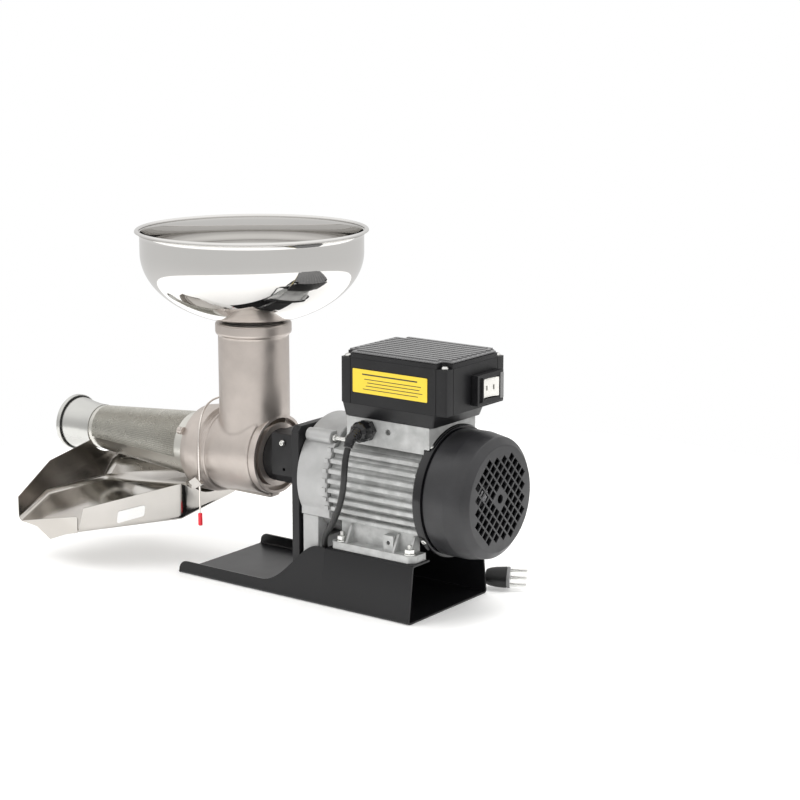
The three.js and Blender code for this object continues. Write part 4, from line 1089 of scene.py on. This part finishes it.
def perforated_cone():
    """Rolled conical sieve with rows of fine pressed holes between plain ends."""
    x_rim, x_end = -291.7, -465.0
    radius_rim, radius_end, wall = 40.2, 26.4, 1.2
    first, last = -312.0, -459.0
    rows, around = 112, 96
    seam = (194, 292)

    def radius_at(x):
        return radius_rim + (radius_end - radius_rim) * (x - x_rim) / (x_end - x_rim)

    bm = bmesh.new()
    grid = []
    for i in range(rows + 1):
        x = first + (last - first) * i / rows
        grid.append(turned_ring(bm, "x", radius_at(x), x, (0, 0, AXIS_Z), around))
    cells = []
    for i, (a, b) in enumerate(zip(grid, grid[1:])):
        for k in range(around):
            n = (k + 1) % around
            cell = bm.faces.new([a[k], b[k], b[n], a[n]])
            degrees = 360 * (k + 0.5) / around
            if not seam[0] < degrees < seam[1]:
                cells.append(cell)
    bmesh.ops.recalc_face_normals(bm, faces=bm.faces)
    bmesh.ops.inset_individual(bm, faces=cells, thickness=0.00033, depth=-0.0005)
    for cell in cells:
        cell.material_index = 1
    lathe(bm, [(radius_at(first), first), (radius_at(-294), -294), (41.0, -292.9, 0.6), (43.1, -292.6),
               (43.1, -286), (39.2, -286), (radius_at(first) - wall, first)], segments=around)
    lathe(bm, [(radius_at(last), last), (radius_end, x_end), (radius_end - wall, x_end),
               (radius_at(last) - wall, last)], segments=around)
    lathe(bm, [(radius_at(first) - 0.7, first), (radius_at(last) - 0.7, last), (radius_at(last) - wall, last),
               (radius_at(first) - wall, first)], segments=around)
    piece("perforated_cone", bm, [sieve_steel, hole_dark], "strainer", "sieve", angle=25)


def sieve_outlet():
    """Flared tube on the sieve's end, its dark seal and the rolled end ring."""
    start = span("sieve_flare")[1]
    bm = bmesh.new()
    lathe(bm, [(25.3, start), (27.4, start, 0.4), (27.2, start - 6, 6), (27.6, start - 14, 10),
               (29.2, start - 26, 14), (31.4, start - 38, 6), (31.4, -512), (30.2, -512),
               (30.2, start - 38, 6), (28, start - 26, 12), (26.2, start - 14, 8), (25.3, start - 4)],
          segments=112, steps=6)
    piece("flared_tube", bm, flare_steel, "strainer", "sieve_flare", angle=40)
    seal = bmesh.new()
    lathe(seal, [(31.7, -512), (33.1, -512, 0.4), (33.4, -508, 0.8), (33.0, -506.6, 0.6), (31.7, -506.6)],
          segments=112)
    piece("seal_ring", seal, rubber, "strainer", "sieve_seal")
    ring = bmesh.new()
    lathe(ring, [(30.4, -513), (33.6, -513, 0.8), (34.3, -512, 0.7), (34.3, -507, 0.5), (33.45, -507),
                 (33.45, -512.3), (30.4, -512.3)], segments=128)
    piece("end_ring", ring, flare_steel, "strainer", "sieve_end_ring")


def auger_screw():
    """Moulded screw: solid core with a smooth helical flight that narrows with the sieve."""
    bm = bmesh.new()
    lathe(bm, [(0, -156), (7.6, -156, 0.8), (8, -157), (8, -201, 1), (15, -203, 2), (13, -292, 8),
               (8.5, -455, 3), (4.5, -463, 2), (0, -463)], segments=48)
    start, mouth, end, coils = -207.0, -292.0, -455.0, 6.25
    radius, narrowing = 34.2, 12.6
    steps = int(coils * 40)
    rings = []
    for i in range(steps + 1):
        s = i / steps
        x = start + (end - start) * s
        angle = -2 * math.pi * coils * s
        tip = radius if x > mouth else radius - narrowing * (mouth - x) / (mouth - end)
        tip *= min(1.0, 0.7 + 7.5 * s)
        section = [(6, 2.3), (tip - 0.6, 1.25), (tip, 0.6), (tip, -0.6), (tip - 0.6, -1.25), (6, -2.3)]
        rings.append(vertices(bm, [turned_point("x", r, x + dx, angle, (0, 0, AXIS_Z)) for r, dx in section]))
    stitch(bm, rings)
    piece("auger_screw", bm, nylon, "screw", "auger", angle=40)


# ------------------------------------------------------------------ chute and bail

CHUTE_OUT_Y = -140.0
CHUTE_END_X = -286.0
CHUTE_CORNER_Y = -53.5
CHUTE_OUT_X = -372.0
CHUTE_BACK_Y = 46.0


def chute_floor_z(y):
    return 45.0 + 0.135 * (y - CHUTE_OUT_Y)


def chute_left_x(y):
    return -471.0 + 0.102 * (y - CHUTE_OUT_Y)


def notch_arc(x_at, radius, start, end, count=21):
    """Points of the round notch that clears the sieve or the head."""
    points = []
    for k in range(count):
        angle = math.radians(start + (end - start) * k / (count - 1))
        y = radius * math.cos(angle)
        points.append((x_at(y), y, AXIS_Z + radius * math.sin(angle)))
    return points


def folded_chute():
    """Folded stainless trough: creased floor, rounded bends, notched walls, a dam and two eared tabs."""
    left, floor = chute_left_x, chute_floor_z
    out, back, end, corner = CHUTE_OUT_Y, CHUTE_BACK_Y, CHUTE_END_X, CHUTE_CORNER_Y
    bm = bmesh.new()

    def vert(x, y, z):
        return vertices(bm, [(x, y, z)])[0]

    front_left = vert(left(out), out, 45)
    front_right = vert(CHUTE_OUT_X, out, 45)
    rear_right = vert(end, corner, floor(corner))
    rear_back = vert(end, back, floor(back))
    crease = vert(left(-97), -97, 70)
    back_left = vert(left(-6.5), -6.5, 70.8)
    fold = vert(left(8), 8, 92)
    rim_left = vert(left(back), back, 112)
    rim_back = vert(end, back, 101)
    rim_right = vert(end, corner, 101)
    notch = vertices(bm, notch_arc(left, 29.6, -22, -158))
    head_notch = vertices(bm, notch_arc(lambda y: end, 55, -40, -140))
    walls = [
        [front_left, front_right, crease], [crease, front_right, rear_right], [crease, rear_right, back_left],
        [back_left, rear_right, rear_back], [back_left, rear_back, rim_back], [back_left, rim_back, fold],
        [fold, rim_back, rim_left],
        [front_left, crease, back_left, fold, rim_left, *notch, vert(left(-91), -91, 110),
         vert(left(out), out, 74)],
        [front_right, rear_right, rim_right, vert(-367.2, -135, 75.3)],
        [rear_right, rear_back, rim_back, *head_notch, rim_right],
    ]
    for corners in walls:
        bm.faces.new(corners)
    bmesh.ops.recalc_face_normals(bm, faces=bm.faces)
    folds = [edge for edge in bm.edges if len(edge.link_faces) == 2 and edge.calc_face_angle(0) > 0.35]
    bmesh.ops.bevel(bm, geom=folds, offset=6.5 * MM, segments=7, profile=0.5, affect="EDGES")
    dam = [(-466, 45.6), (-440, 43), (-418, 31), (-392, 41), (-376, 45.6), (-372.6, 46), (-371.4, 66),
           (-462, 46.6)]
    bm.faces.new([vert(x, out - 0.05, z) for x, z in rounded([(x, z, 3) for x, z in dam])])
    obj = make_object("folded_chute", bm, recalculate=False)
    thicken(obj, 1.2, 0.0)
    extra = bmesh.new()
    extra.from_mesh(obj.data)
    for shift in (0.0, 6.0):
        run = [(left(y + shift) + 0.8, y + shift, z) for y, z in ((-6, 72), (1, 82), (8, 92), (12.5, 101))]
        tube(extra, smooth_path(run, 6), 1.0, 12)
    ears(extra)
    bmesh.ops.recalc_face_normals(extra, faces=extra.faces)
    extra.to_mesh(obj.data)
    extra.free()
    piece("folded_chute", obj, sheet_steel, "juice_chute", "chute", angle=30)


def ears(bm):
    """Diamond lugs on short slanting tabs; the bail's legs pass through them."""
    half_x, half_z, thick = 10.4, 6.9, 2.6
    x, z = -263.4, 105.5
    for side in (-1, 1):
        y = side * 53.2
        lug = [(x - half_x, z, 0.8), (x, z - half_z, 0.8), (x + half_x, z, 0.8), (x, z + half_z, 0.8)]
        prism(bm, lug, "y", y - thick, y + thick)
        tab = [(-286.9, side * 45.6), (-271.0, side * 53.6), (-270.0, side * 52.1), (-286.0, side * 44.1)]
        prism(bm, tab, "z", 97, 103)


def chute_tag():
    """Blank white film on the outside of the front wall."""
    outward, off, half_thick = Vector((0.709, -0.705, 0)), 1.15, 0.15
    ends = []
    for t, low, high in ((0.376, 58, 72), (0.638, 62, 75)):
        x = CHUTE_OUT_X + (CHUTE_END_X - CHUTE_OUT_X) * t + outward.x * off
        y = CHUTE_OUT_Y + (CHUTE_CORNER_Y - CHUTE_OUT_Y) * t + outward.y * off
        ends.append((Vector((x, y, low)), Vector((x, y, high))))
    (a, d), (b, c) = ends
    centre = (a + b + c + d) / 4
    across = (b - a).normalized()
    flat = rounded([((p - centre).dot(across), p.z - centre.z, 2.0) for p in (a, b, c, d)])
    bm = bmesh.new()
    loops = []
    for shift in (-half_thick, half_thick):
        origin = centre + outward * shift
        loops.append(vertices(bm, [origin + across * u + Vector((0, 0, v)) for u, v in flat]))
    stitch(bm, loops)
    piece("chute_tag", bm, paper, "juice_chute", "chute_sticker")


def spring_bail():
    """Wire arch over the head's flange, with straight legs and soft red tips."""
    leg_x, side, sweep, radius, rise, power = -258.6, -259.4, 8.0, 53.2, 63.0, 0.74
    near_end, far_end = span("bail_tip_1")[5], span("bail_tip_2")[5]
    route = [(leg_x, -radius, near_end), (leg_x, -radius, 92), (leg_x, -radius, 112)]
    for degrees in range(180, -1, -10):
        angle = math.radians(degrees)
        u = max(math.sin(angle), 0.0)
        y = radius * eased(math.cos(angle), power)
        route.append((side - sweep * u * u, y, AXIS_Z + rise * u ** power))
    route += [(leg_x, radius, 112), (leg_x, radius, 97), (leg_x, radius, far_end)]
    bm = bmesh.new()
    tube(bm, smooth_path(route, 6), 1.15, 16)
    piece("bail_spring", bm, wire_steel, "bail", "bail_wire", angle=60)
    for i in (1, 2):
        z0, z1 = span(f"bail_tip_{i}")[4:]
        cap = bmesh.new()
        outline = [(0, z0), (2.1, z0, 0.5), (2.6, z0 + 1.2, 0.6), (2.6, z1 - 1, 0.8), (1.9, z1, 0.5), (0, z1)]
        lathe(cap, outline, "z", middle(f"bail_tip_{i}"), 32)
        piece(f"bail_cap_{i}", cap, red_cap, "bail", f"bail_tip_{i}")


# ------------------------------------------------------------------ the whole

add_camera()
mains_lead()
add_studio()
add_floor()

folded_base()
upright_plate()
square_bracket()
_, _, _, near, low, high = span("clamp_screw")
clamp_centre = (middle("clamp_screw")[0], near, (low + high) / 2)
screw_head("clamp_screw_head", "clamp_screw", clamp_centre, "y", -3.5)
reducer_case()
reducer_stand()
tie_rod()
motor_casting()
for number in (1, 2, 3, 4):
    foot_nut(number)
    node = f"lid_screw_{number}"
    screw_head(f"lid_screw_head_{number}", node, middle(node, span(node)[4]), "z", 2.8)
for build in (
    end_shield, fan_cowl, fan_wheel, box_tray, box_hood, ribbed_lid, warning_film, switch_bezel,
    rocker_cap, cable_gland, press_casting, polished_bowl, perforated_cone, sieve_outlet, auger_screw,
    folded_chute, chute_tag, spring_bail,
):
    build()

for node, material in {
    "stator_core": winding, "front_bearing": zinc, "rear_bearing": zinc, "run_capacitor": ivory,
    "rotor_shaft": ground_steel, "rotor_core": ground_steel, "layshaft": ground_steel,
    "layshaft_gear": ground_steel, "output_gear": ground_steel, "output_shaft": ground_steel,
    "auger_seal": rubber,
}.items():
    keep(node, material)
